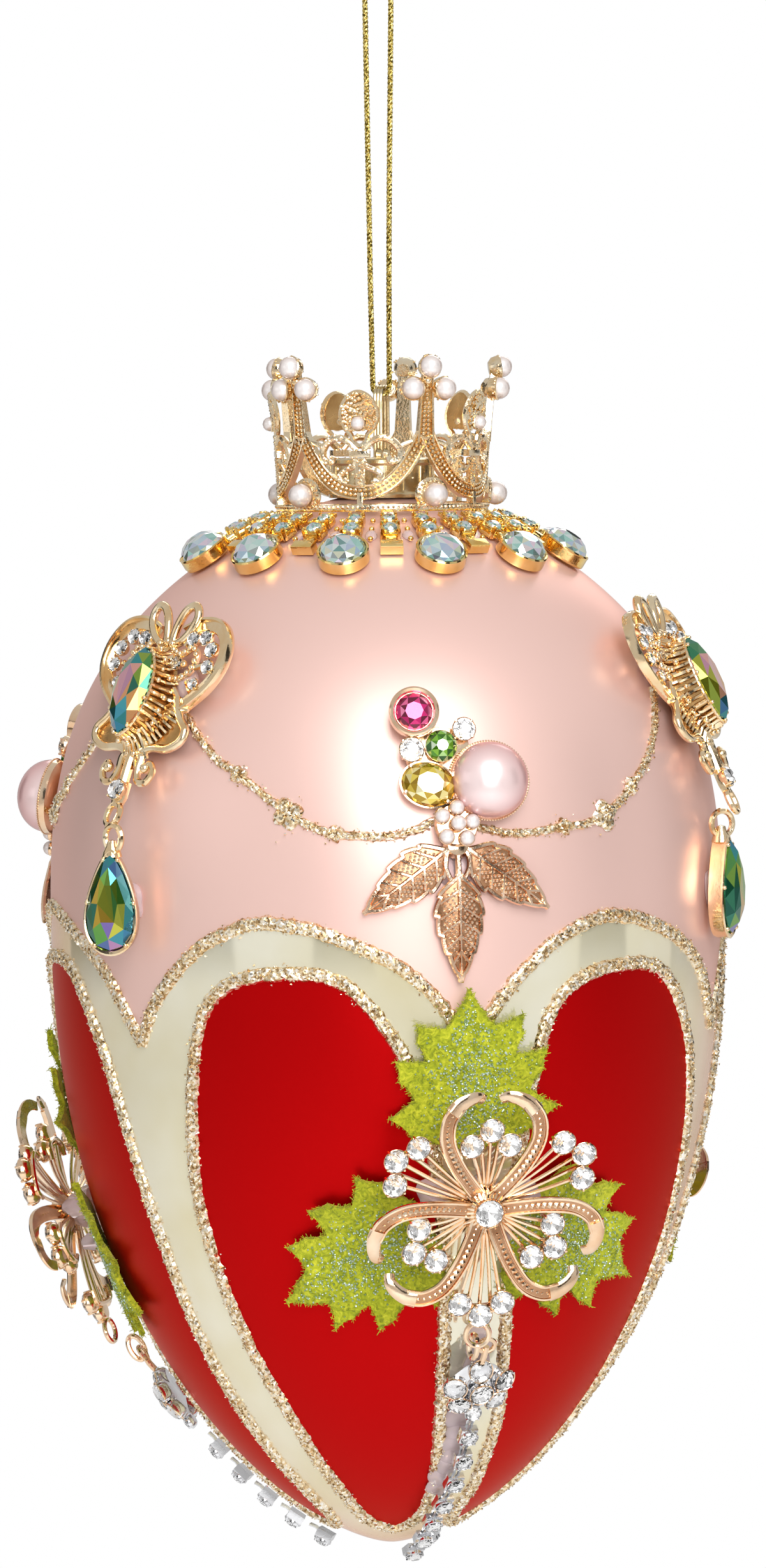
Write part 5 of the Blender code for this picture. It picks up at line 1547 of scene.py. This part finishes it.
for number, angle in enumerate(JEWEL_ANGLES, 1):
    tray = Tray(f"cast_brooch_{number}")
    brooch(tray, angle)
    tray.make([PALE_GOLD, CLEAR, FOIL, GOLD_PAINTED_SHADE, VITRAIL, GLUE], "pale_gold", f"jewel_brooch_{number}",
              f"jewel_stone_{number}")
    tray = Tray(f"teardrop_pendant_{number}")
    teardrop(tray, angle, PENDANT_TURNS[number - 1])
    tray.make([PALE_GOLD, CLEAR, FOIL, GOLD_PAINTED_SHADE, VITRAIL, GLUE], "pale_gold", f"pendant_setting_{number}",
              f"pendant_stone_{number}")
# %% [markdown]
# ## The sprays
#
# Leftover costume jewels are glued together here: a ruby in a deep bezel, small crystals, a green and a
# yellow stone, a big pink pearl in a cup and a flower of seed pearls, over three stamped leaves. A stamped
# leaf is thin, so it is drawn flat and bent to the glass, with its rim, veins and stippling as relief.

# %% Stones and pearls of a spray
SPRAY_ANGLES = (-2.9, 117.1, 237.1)
SPRAY_HEIGHTS = (24.4, 24.4, 18.9)
SEED_PEARL = 2.45
SEED_SPOTS = ((0.0, 0.0), (0.0, 2.6), (-2.45, 1.3), (2.4, 0.3), (-1.9, -2.1), (1.4, -2.4))
RUBY_BEZEL = turned([(0, 0.3), (3.7, 0.3), (4.0, 0.6), (4.1, 2.9), (4.02, 3.35), (3.75, 3.5), (3.35, 3.3), (3.1, 2.7), (0, 2.4)], 56)
RUBY_STONE = cut_stone(round_outline(6.1), ((0.48, 1.35, 8, 0), (0.78, 1.0, 8, 0.5), (1.0, 0.35, 16, 0), (1.0, 0.0, 16, 0)))
OVAL_STONE = cut_stone(round_outline(9.0, 7.2), ((0.5, 2.15, 8, 0.5), (0.74, 1.65, 10, 0), (0.92, 0.9, 16, 0.5), (1.0, 0.2, 16, 0),
                                                 (1.0, 0.0, 16, 0)))
GREEN_STONE = cut_stone(round_outline(5.1), ((0.38, 1.35, 8, 0), (0.76, 1.0, 8, 0.5), (1.0, 0.25, 16, 0), (1.0, 0.0, 16, 0)))
OVAL_CUP = turned([(0, -0.2), (1.02, -0.2), (1.08, 0.4), (1.07, 0.75), (1.0, 0.8), (0.97, 0.4), (0, 0.3)], 40)
PEARL_CUP = turned([(0, -0.2), (5.4, -0.1), (6.3, 0.6), (6.5, 1.5), (6.42, 1.9), (6.2, 1.85), (6.0, 1.0), (0, 0.4)], 64)


def spray_jewels(tray, place):
    bezel = place @ Matrix.Translation((-5.9, 11.8, 0.5)) @ Matrix.Rotation(radians(-8), 4, "Y")
    tray.put(RUBY_BEZEL, bezel)
    # The ruby, green and yellow stones carry painted light and shade facet by facet.
    tray.put(RUBY_STONE, bezel @ Matrix.Translation((0, 0, 2.45)), look=3, tone=facet_light_and_shade_tones(RUBY_STONE, 0.3, 0.1, 0.8))
    for x, y, size in ((-6.9, 5.7, 4.2), (1.9, 8.9, 3.9)):
        set_crystal(tray, place @ Matrix.Translation((x, y, 2.6)), size=size)
    green = place @ Matrix.Translation((-2.1, 6.1, 3.0))
    tray.put(CUP, green @ Matrix.Scale(1.32, 4))
    tray.put(GREEN_STONE, green, look=4, tone=facet_light_and_shade_tones(GREEN_STONE, 1.0, 0.12, 0.72))
    yellow = place @ shifted(-4.5, -0.1, 2.2, -14)
    cup = OVAL_CUP
    tray.put(cup, yellow @ Matrix.Diagonal((4.5, 3.6, 1.0, 1.0)))
    tray.put(OVAL_STONE, yellow @ Matrix.Translation((0, 0, 0.45)), look=5, tone=facet_light_and_shade_tones(OVAL_STONE, 1.0, 0.2, 0.75))
    for turn in (38, 142, 218, 322):
        tray.put(CUP_CLAW, yellow @ Matrix.Translation((4.45 * cos(radians(turn)), 3.55 * sin(radians(turn)), 0.9))
                 @ Matrix.Scale(1.5, 4))
    pearl_place = place @ Matrix.Translation((5.6, 0.4, 0.9))
    tray.put(PEARL_CUP, pearl_place)
    for i in range(90):
        way = 2 * pi * i / 90
        tray.put(SMALL_BEAD, pearl_place @ Matrix.Translation((6.45 * cos(way), 6.45 * sin(way), 1.75)))
    pearl_ball = ball(12.5, 4)
    pearl_ball.points[:, 2] = np.maximum(pearl_ball.points[:, 2] * 0.86, -1.6)
    tray.put(pearl_ball, pearl_place @ Matrix.Translation((0, 0, 2.2)), look=6)
    seeds = place @ Matrix.Translation((-0.1, -6.6, 2.6))
    tray.put(turned([(0, 0.2), (3.3, 0.1), (3.6, -0.6), (3.0, -1.6), (0, -2.0)], 24), seeds)
    for x, y in SEED_SPOTS:
        spot = seeds @ Matrix.Translation((x, y, 0.5 if (x, y) != (0, 0) else 1.1))
        tray.put(SEED_CUP, spot)
        tray.put(SEED_BALL, spot @ Matrix.Translation((0, 0, 0.35)), look=7)
    base = plate([(-7.6, 4.0), (-4.6, 9.8), (2.4, 8.8), (3.8, 1.0), (0.9, -6.6), (-5.0, -2.4)], 0.7, 1.8, 0.3)
    tray.put(base, place)


SEED_CUP = pearl_cup(SEED_PEARL)
SEED_BALL = ball(SEED_PEARL, 3)

# %% Stamped leaves
LEAF_LENGTH = 22.0
LEAF_HALF = 3.9
LEAF_LIFT = 1.15


def leaf_half_width(share, stalk):
    """Half the leaf's width from its foot, 0, to its tip, 1: a narrow stalk, then a blade with five teeth."""
    if share < stalk:
        return 0.42 + 0.25 * share
    along = (share - stalk) / (1 - stalk)
    body = LEAF_HALF * (sin(pi * min(along, 1) ** 0.62)) ** 0.85
    tooth = (along * 5.5) % 1.0
    body *= 1 - 0.75 * exp(-along * 11)
    return max(0.14, 0.42 * (1 - along) + body * (0.82 + 0.19 * tooth ** 0.7))


def leaf_dome(x, share):
    """The stamped leaf is slightly hollow behind: high along its midrib, low at the rim."""
    return 0.75 * (1 - min(abs(x) / LEAF_HALF, 1) ** 2) * sin(pi * min(max(share, 0), 1)) ** 0.5


def stamped_leaf(tray, place, bend, length, stalk):
    rows = []
    edge = []
    count = 97
    for i in range(count):
        share = i / (count - 1)
        half = leaf_half_width(share, stalk) if 0 < i < count - 1 else 0.12
        across = [half * (k / 4 - 1) for k in range(9)]
        y = -length * share
        over = [(x, y, leaf_dome(x, share) + 0.10) for x in across]
        under = [(x, y, leaf_dome(x, share) - 0.26) for x in reversed(across)]
        rows.append(over + under)
        if share >= stalk * 0.9:
            edge.append((max(half - 0.25, 0.1), y, leaf_dome(half, share) + 0.18))
    # The leaf's body between its raised rim, veins and beads is darker rose gold: painted shade in its hollows.
    tray.put(loft(rows), place, bend, look=10)
    for flip in (1, -1):
        tray.put(wire([(flip * x, y, z) for x, y, z in edge], 0.85, sides=6), place, bend, look=8)
        for step in range(5):
            share = stalk + (0.12 + 0.145 * step) * (1 - stalk)
            ahead = 0.13 * (1 - stalk)
            reach = leaf_half_width(share + ahead, stalk) * 0.84
            vein = [(0, -length * share, leaf_dome(0, share) + 0.22),
                    (flip * reach * 0.5, -length * (share + ahead / 2), leaf_dome(reach * 0.5, share) + 0.24),
                    (flip * reach, -length * (share + ahead), leaf_dome(reach, share) + 0.2)]
            tray.put(wire(curve(vein, 3), 0.58, sides=6), place, bend, look=8)
    rib = [(0, -length * i / 16, leaf_dome(0, i / 16) + 0.2) for i in range(17)]
    tray.put(wire(rib, 0.95, sides=6, sizes=[1.0 - 0.6 * i / 16 for i in range(17)]), place, bend, look=8)
    for row in range(24):
        share = stalk + (0.10 + 0.78 * row / 23) * (1 - stalk)
        half = leaf_half_width(share, stalk) - 0.95
        reach = 0.72 + 0.36 * (row % 2)
        while reach < half:
            for x in (-reach, reach):
                spot = Matrix.Translation((x, -length * (share + 0.012 * reach), leaf_dome(x, share) + 0.24))
                tray.put(LEAF_BEAD, spot, place, bend, look=8)
            reach += 0.76


LEAF_BEAD = ball(0.56, 1)
for number, angle in enumerate(SPRAY_ANGLES, 1):
    tray = Tray(f"jewel_spray_{number}")
    height = SPRAY_HEIGHTS[number - 1]
    here = seat(angle, height)
    spray_jewels(tray, here)
    bend = on_glass(angle, height)
    for length, turn, lift, stalk in ((18.6, -53.0, 0.0, 0.13), (22.4, 1.0, 0.12, 0.25), (18.6, 54.0, 0.0, 0.13)):
        place = shifted(0.1, -9.0, LEAF_LIFT + lift, turn)
        stamped_leaf(tray, place, bend, length, stalk)
    for flip in (1, -1):
        stem_wire = [(flip * 0.5, -9.4, 1.5), (flip * 1.7, -11.2, 1.9), (flip * 1.9, -13.0, 1.9), (flip * 1.0, -15.2, 1.8)]
        tray.put(wire(curve(stem_wire, 5), 0.8, sides=6), Matrix.Identity(4), bend, look=8)
        glue(tray, shifted(flip * 1.5, -13.4, 0.05), 3.6, 5.2, 0.9, 9, bend)
    tray.put(turned([(0, 1.3), (1.6, 1.0), (2.2, 0), (0, -0.6)], 16), shifted(0.1, -9.6, 1.3), bend)
    tray.make([ROSE_GOLD, CLEAR, FOIL, RUBY, GREEN, OLIVE, PINK_PEARL, WHITE_PEARL, LEAF_GOLD, GLUE, ROSE_GOLD_PAINTED_SHADE], "rose_gold",
              f"spray_mount_{number}", f"ruby_stone_{number}", f"yellow_stone_{number}", f"big_pearl_{number}")
# %% [markdown]
# ## Felt leaves
#
# Three leaves of lime felt lie on the glass under each flower. The outline is filled with even triangles,
# thickened, then bent to the glass with its tips curling away. Loose fibres stand out all over, and most of
# all at the cut edge. Fine glass beads are strewn on top, thickest down the middle.

# %% Felt
FLOWER_ANGLES = (1.1, 121.1, 241.1)
FLOWER_HEIGHTS = (-42.0, -42.0, -49.5)
FELT_TURNS = {"top": 4.0, "left": 122.0, "right": -117.0}
FELT_LIFT = 0.65
FELT_THICKNESS = 0.95
# Right-hand half of a leaf as (across, along), tip first
FELT_EDGE = ((0.2, 34.4), (2.0, 31.2), (4.0, 28.4), (8.5, 29.6), (8.4, 26.6), (7.2, 23.2), (12.3, 23.6), (11.8, 20.4),
             (9.6, 17.2), (13.6, 14.4), (10.4, 11.4), (4.2, 8.6))


def felt_outline(seed):
    """The cut edge, slightly different on each leaf."""
    left = [(-x, y) for x, y in reversed(FELT_EDGE)]
    corners = [Vector((x, y, 0)) for x, y in [*FELT_EDGE, *left]]
    corners = [corner + 0.55 * noise.noise_vector(corner * 0.17 + Vector((seed, 0, 0))) for corner in corners]
    made = []
    for one, two in zip(corners, corners[1:] + corners[:1]):
        steps = max(1, round((two - one).length / 0.6))
        normal = Vector((two.y - one.y, one.x - two.x, 0)).normalized()
        for i in range(steps):
            point = one.lerp(two, i / steps)
            wave = 0.16 * noise.noise(point * 0.9 + Vector((seed * 3.1, 0, 0))) + 0.25 * sin(pi * i / steps)
            made.append((point + normal * wave).xy)
    return made


def filled(outline, pitch):
    """The outline filled with points a pitch apart: their places, and the triangles between them."""
    count = len(outline)
    spread = np.array(outline)
    low, high = spread.min(axis=0), spread.max(axis=0)
    grid = []
    rows = int((high[1] - low[1]) / (pitch * 0.866))
    for row in range(1, rows):
        y = low[1] + row * pitch * 0.866
        for x in np.arange(low[0] + pitch * (0.25 + 0.5 * (row % 2)), high[0], pitch):
            grid.append(Vector((x, y)))
    keep = [point for point in grid if min((point - edge).length for edge in outline) > 0.6 * pitch]
    edges = [(i, (i + 1) % count) for i in range(count)]
    points, _, faces, *_ = geometry.delaunay_2d_cdt(list(outline) + keep, edges, [], 1, 1e-5)
    used = sorted({i for face in faces for i in face})
    place = {old: new for new, old in enumerate(used)}
    return np.array([tuple(points[i]) for i in used]), [[place[i] for i in face] for face in faces]


def felt_finish():
    made = finish("lime_felt_wool", (0.42, 0.50, 0.03), 0.9, 0.0, Sheen_Weight=0.35, Sheen_Roughness=0.5)
    made.node_tree.nodes["Principled BSDF"].inputs["Sheen Tint"].default_value = (0.85, 0.9, 0.35, 1)
    wool = speckle(made, scale=900.0, Detail=4.0, Distortion=1.4)
    ramp(made, wool.outputs["Fac"], ((0.25, (0.12, 0.16, 0.002)), (0.5, (0.38, 0.42, 0.008)), (0.8, (0.72, 0.70, 0.04))),
         shader_of(made).inputs["Base Color"])
    bumpy(made, wool.outputs["Fac"], 0.9, 0.0004)
    return made


FELT = felt_finish()
BEADS = tone_coloured(
    "clear_glass_beads", ((0.0, (0.22, 0.34, 0.12)), (0.5, (0.42, 0.55, 0.36)), (1.0, (0.62, 0.74, 0.72))),
    0.05, 0.45, Coat_Weight=1.0, Coat_Roughness=0.03)
FIBRE = turned([(0.045, -0.5), (0.06, 0), (0.03, 0.5)], 3)
FELT_BEAD = ball(0.44, 1)


def felt_leaf(number, angle, side, seed):
    outline = felt_outline(seed)
    flat, faces = filled(outline, 0.85)
    swing = Matrix.Rotation(radians(FELT_TURNS[side]), 4, "Z")
    bend = on_glass(angle, FLOWER_HEIGHTS[number - 1])

    def laid(points):
        """Lay a leaf down: its tips curl up, and it is a little uneven all over."""
        wave = np.array([noise.noise(Vector((x * 0.16, y * 0.16, seed))) for x, y, _ in points])
        curl = np.clip((points[:, 1] - 17) / 17, 0, 1) ** 2 * 1.6 + np.clip((np.abs(points[:, 0]) - 5) / 9, 0, 1) ** 2 * 1.5
        points = points + np.stack([0 * wave, 0 * wave, curl * (0.75 + 0.8 * wave) + 0.35 * (wave + 0.5)], axis=1)
        matrix = np.array(swing)
        return bend(points @ matrix[:3, :3].T + (0, 0, FELT_LIFT))

    made = bmesh.new()
    over = [made.verts.new((x, y, FELT_THICKNESS)) for x, y in flat]
    under = [made.verts.new((x, y, 0)) for x, y in flat]
    rim = {}
    for face in faces:
        made.faces.new([over[i] for i in face])
        made.faces.new([under[i] for i in reversed(face)])
        for pair in zip(face, face[1:] + face[:1]):
            rim[tuple(pair)] = rim.get(tuple(pair[::-1]), 0) == 0
            if tuple(pair[::-1]) in rim:
                rim[tuple(pair[::-1])] = False
    for (one, two), alone in rim.items():
        if alone:
            made.faces.new((over[two], over[one], under[one], under[two]))
    felt = Tray(f"felt_leaf_cut_{side}_{number}")
    felt.put(Shape(made), laid)
    piece = felt.make([FELT], "lime_felt", f"felt_leaf_{side}_{number}", crease=60.0)

    trim = Tray(f"felt_beads_{side}_{number}")
    inner = flat[len(outline):]
    middle = np.exp(-(inner[:, 0] / 5.5) ** 2) * np.clip((36 - inner[:, 1]) / 16, 0.15, 1)
    chosen = rng.choice(len(inner), 1150, p=middle / middle.sum())
    spots = inner[chosen] + rng.uniform(-0.5, 0.5, (1150, 2))
    spots = laid(np.column_stack([spots, np.full(1150, FELT_THICKNESS + 0.08)]))
    frames = random_frames(1150, rng.uniform(0.45, 1.05, 1150))
    frames[:, :3, 3] = spots
    trim.scatter(FELT_BEAD, frames, look=1, tones=rng.uniform(0, 1, 1150))
    edge = np.array([tuple(point) for point in outline])
    where = np.concatenate([edge[rng.integers(0, len(edge), 700)], flat[rng.integers(0, len(flat), 900)]])
    where = laid(np.column_stack([where + rng.normal(0, 0.12, where.shape), rng.uniform(0.35, 1.0, len(where)) * 1.0]))
    frames = random_frames(len(where), rng.uniform(0.6, 1.6, len(where)))
    frames[:, :3, 3] = where
    trim.scatter(FIBRE, frames, look=0)
    trimming = trim.make([FELT, BEADS], "lime_felt")
    size = edge.max(axis=0) - edge.min(axis=0)
    shoelace = 0.5 * abs(np.dot(edge[:, 0], np.roll(edge[:, 1], 1)) - np.dot(edge[:, 1], np.roll(edge[:, 0], 1)))
    return size, shoelace


for number, angle in enumerate(FLOWER_ANGLES, 1):
    for step, side in enumerate(FELT_TURNS):
        size, shoelace = felt_leaf(number, angle, side, 10 * number + 3 * step)
print(f"felt leaf: cut {size[0]:.1f} by {size[1]:.1f} mm, {shoelace:.0f} square mm")

# %% [markdown]
# ## Flower brooches
#
# Three pairs of beaded ribbons curl in at their ends round a centre stone. Between them, wires fan out to
# three near clusters and three far ones. The brooch stands well off the glass on a lump of glue, which
# shows between the wires. Everything is one third of a turn, put down three times.

# %% The flower
FLOWER_LIFT = 5.6
ARM_HALF = 1.3
ARM = curve([(0.9, 1.8, 2.0), (3.3, 4.7, 2.7), (5.8, 8.3, 3.3), (7.6, 12.3, 3.6), (7.5, 15.8, 3.4), (5.9, 18.2, 2.9)], 7)
ARM_SECTION = [(-1.3, -0.35), (1.3, -0.35), (1.34, 0.25), (1.2, 0.48), (0.92, 0.46), (0.8, 0.08), (-0.8, 0.08), (-0.92, 0.46),
               (-1.2, 0.48), (-1.34, 0.25)]
# Section of a darker strip in the ribbon's groove: painted shade.
ARM_GROOVE_SHADE = [(-0.74, -0.05), (0.74, -0.05), (0.74, 0.14), (-0.74, 0.14)]
CURL = curve([(7.0, 17.0, 3.15), (5.9, 18.2, 2.9), (4.2, 19.1, 2.6), (2.6, 19.3, 2.1), (1.5, 18.7, 1.3)], 6)
CURL_SECTION = [(-1.3, -0.3), (1.3, -0.3), (1.38, 0.1), (1.1, 0.42), (0.5, 0.62), (-0.5, 0.62), (-1.1, 0.42), (-1.38, 0.1)]
NEAR = ((0.0, 13.7), (-3.2, 11.1), (3.2, 11.1))
FAR = ((0.0, 18.2), (-3.6, 16.1), (3.6, 16.1))
CLUSTER_TOP = 2.5
WIRE = 0.66


def ribbon(tray, place):
    tray.put(sweep(ARM, ARM_SECTION), place)
    # The ribbon's groove takes the darker rose gold: painted shade.
    tray.put(sweep(ARM[:-4], ARM_GROOVE_SHADE), place, look=4)
    tray.put(sweep(CURL, CURL_SECTION, sizes=np.linspace(1.04, 0.62, len(CURL))), place)
    beads = spaced(ARM[3:], 0.95)[:-2]
    for i, point in enumerate(beads):
        size = 0.5 + 0.75 * sin(pi * min(i / len(beads) * 1.15, 1)) ** 1.2
        tray.put(CROWN_BEAD, Matrix.Translation(point + (0, 0, 0.16)) @ Matrix.Scale(size / 0.62 * 0.9, 4), place)


def cluster(tray, place, spots, roots):
    for x, y in spots:
        set_crystal(tray, place @ Matrix.Translation((x, y, CLUSTER_TOP)), size=4.15, turn=rng.uniform(0, 90))
        foot = (0.16 * x, 2.4, 1.0)
        middle = (0.55 * x, 0.5 * y + 1.0, 1.75)
        tray.put(wire(curve([foot, middle, (x, y, CLUSTER_TOP - 1.1)], 5), WIRE, sides=6), place)
    for root in roots:
        far_x, far_y = root
        tray.put(wire(curve([(0.16 * far_x, 2.4, 0.9), (0.55 * far_x, 0.5 * far_y + 1.0, 1.5),
                             (far_x, far_y, CLUSTER_TOP - 1.3)], 5), WIRE, sides=6), place)
    (_, top), (left, low), (right, _) = spots
    arc = curve([(left * 1.1, low - 1.9, 0.9), (left * 1.0, low + 0.4, 0.8), (0, top - 1.2, 0.9), (right, low + 0.4, 0.8),
                 (right * 1.1, low - 1.9, 0.9)], 6)
    tray.put(wire(arc, 0.9, sides=7), place)


def flower(tray, angle, height):
    here = seat(angle, height, FLOWER_LIFT) @ Matrix.Diagonal((1.0, 1.0, 0.9, 1.0))
    for turn in (0, 120, 240):
        third = here @ Matrix.Rotation(radians(turn), 4, "Z")
        for flip in (Matrix.Identity(4), MIRROR):
            ribbon(tray, third @ flip)
        cluster(tray, third, NEAR, ((-1.5, 11.3), (1.5, 11.3)))
        cluster(tray, third @ Matrix.Rotation(pi / 3, 4, "Z"), FAR, ((-1.9, 16.4), (1.9, 16.4)))
    disc = turned([(0, -0.5), (2.2, -0.5), (2.9, 0.2), (2.7, 1.3), (1.6, 2.4), (0, 2.6)], 28)
    tray.put(disc, here)
    for i in range(26):
        way = 2 * pi * i / 26
        x, y = sin(way), cos(way)
        long = 4.6 if i % 2 else 3.9
        ray = wire([(2.0 * x, 2.0 * y, 2.6), (3.2 * x, 3.2 * y, 2.2), (long * x, long * y, 1.3)], 0.62, sides=6,
                   sizes=[1.25, 1.0, 0.6])
        tray.put(ray, here)
    set_crystal(tray, here @ Matrix.Translation((0, 0, 4.05)), size=4.95, claws=0)
    tray.put(turned([(0, 1.4), (1.5, 1.5), (2.2, 2.6), (2.55, 3.6), (2.5, 4.4), (2.32, 4.1), (2.1, 3.0), (0, 2.0)], 28), here)
    for x, y, tall, wide in ((0.4, -0.5, 6.0, 8.8), (7.6, 0.6, 4.6, 5.6), (3.8, -6.0, 4.6, 4.8), (-7.4, 1.0, 4.4, 5.0)):
        place = here @ Matrix.Translation((x, y, -FLOWER_LIFT + 0.3))
        glue(tray, place, wide, wide * 0.85, tall + 1.2, 3)
    ring = [(1.9 * sin(2 * pi * i / 22), -21.8 + 2.0 * cos(2 * pi * i / 22), 1.5 + 0.25 * sin(2 * pi * i / 22)) for i in range(22)]
    tray.put(wire(ring, 0.95, closed=True), here)


def drop_link(tray, angle, height):
    """The upright oval link between the ring of the brooch and the rosette."""
    here = seat(angle + 0.6, height - 22.2, 5.8)
    link_path = [(0.35 * sin(2 * pi * i / 24), -0.8 + 2.2 * cos(2 * pi * i / 24), 1.15 * sin(2 * pi * i / 24)) for i in range(24)]
    tray.put(wire(link_path, 0.95, closed=True, up=(1, 0, 0)), here)


# %% [markdown]
# ## Rosettes and chains
#
# The rosette below each flower is made of the same crystals in silver cups, and under it a chain of cups
# follows the glass to the point. Its pitch is measured along the egg's profile.

# %% The rosette and the chain
ROSETTE_DROP = 30.6
ROSETTE_SPOTS = ((0.2, 2.9, 1.0), (4.6, 0.8, 1.1), (-3.7, -0.4, 1.0), (-2.3, -3.9, 0.9), (3.7, -3.0, 1.0), (0.6, -1.0, 2.2))
CHAIN_CUP = 3.2
CHAIN_PITCH = 5.6
CHAIN_LIFT = 2.2
SQUARE_CUP = plate([(-1.45, -1.45), (1.45, -1.45), (1.45, 1.45), (-1.45, 1.45)], 0.0, 1.5, 0.35, 1.0, 3)


def rosette(tray, angle, height):
    here = seat(angle + 3.6, height - ROSETTE_DROP, 3.2)
    for x, y, lift in ROSETTE_SPOTS:
        lean = Matrix.Rotation(radians(-5 * y), 4, "X") @ Matrix.Rotation(radians(5 * x), 4, "Y")
        set_crystal(tray, here @ Matrix.Translation((x, y, lift)) @ lean, size=4.1)
        tray.put(turned([(2.08, 0.05), (2.16, 0.2), (2.1, 0.36), (1.95, 0.3)], 22),
                 here @ Matrix.Translation((x, y, lift)) @ lean, look=4)
    set_crystal(tray, here @ Matrix.Translation((0.4, -5.9, 1.0)), size=2.9)
    tray.put(turned([(0, -0.1), (4.6, 0.0), (4.9, 0.4), (4.2, 0.8), (0, 0.9)], 12), here @ Matrix.Translation((0.3, -0.6, -0.1)))
    stem_path = [(0.1, 4.2, 0.8), (0.2, 6.2, 1.1), (0.3, 8.0, 1.0)]
    tray.put(wire(stem_path, 1.1), here, look=4)
    loop_path = [(0.3 + 1.4 * sin(2 * pi * i / 18), 8.2 + 1.3 * cos(2 * pi * i / 18), 1.0) for i in range(18)]
    tray.put(wire(loop_path, 0.8, closed=True), here, look=4)


def chain(tray, angle, height):
    run = np.interp(height - ROSETTE_DROP - 9.6, HEIGHTS, REACHES)
    last = np.interp(-EGG_BOTTOM + 2.6, HEIGHTS, REACHES)
    spots = []
    while run > last and len(spots) < 8:
        height = float(np.interp(run, REACHES, HEIGHTS))
        spots.append(seat(angle + 5.2 + 0.8 * sin(len(spots) * 1.1), height, CHAIN_LIFT, 6 * sin(len(spots) * 1.7)))
        run -= CHAIN_PITCH
    for place in spots:
        tray.put(SQUARE_CUP, place)
        set_crystal(tray, place @ Matrix.Translation((0, 0, 1.75)), size=3.15)
        for side in (-0.55, 0.55):
            tray.put(wire([(side, 0.9, 0.5), (side * 0.7, 2.1, 0.35), (side, 3.2, 0.5)], 0.5, sides=6), place)
    return len(spots)


def chain_glue(tray, angle, height):
    """A run of clear glue under the chain, tinted by the lacquer below it."""
    for i in range(13):
        run = np.interp(height - 24.0, HEIGHTS, REACHES) - 2.9 * i
        there = float(np.interp(run, REACHES, HEIGHTS))
        place = seat(angle + 4.2 + rng.uniform(-0.9, 0.9), there, 0.1)
        glue(tray, place, 4.4 + rng.uniform(-0.8, 0.6), 5.4, 1.0 + rng.uniform(0, 0.4), 3)


for number, (angle, height) in enumerate(zip(FLOWER_ANGLES, FLOWER_HEIGHTS), 1):
    tray = Tray(f"ribbon_flower_{number}")
    flower(tray, angle, height)
    drop_link(tray, angle, height)
    tray.make([ROSE_GOLD, CLEAR, FOIL, GLUE, ROSE_GOLD_PAINTED_SHADE], "rose_gold", f"flower_brooch_{number}")
    tray = Tray(f"crystal_rosette_{number}")
    rosette(tray, angle, height)
    tray.make([SILVER, CLEAR, FOIL, GLUE, ROSE_GOLD], "silver", f"rosette_{number}")
    tray = Tray(f"crystal_chain_{number}")
    cups = chain(tray, angle, height)
    chain_glue(tray, angle, height)
    tray.make([SILVER, CLEAR, FOIL, GLUE], "silver", f"rhinestone_chain_{number}")
print("cups in each chain:", cups)
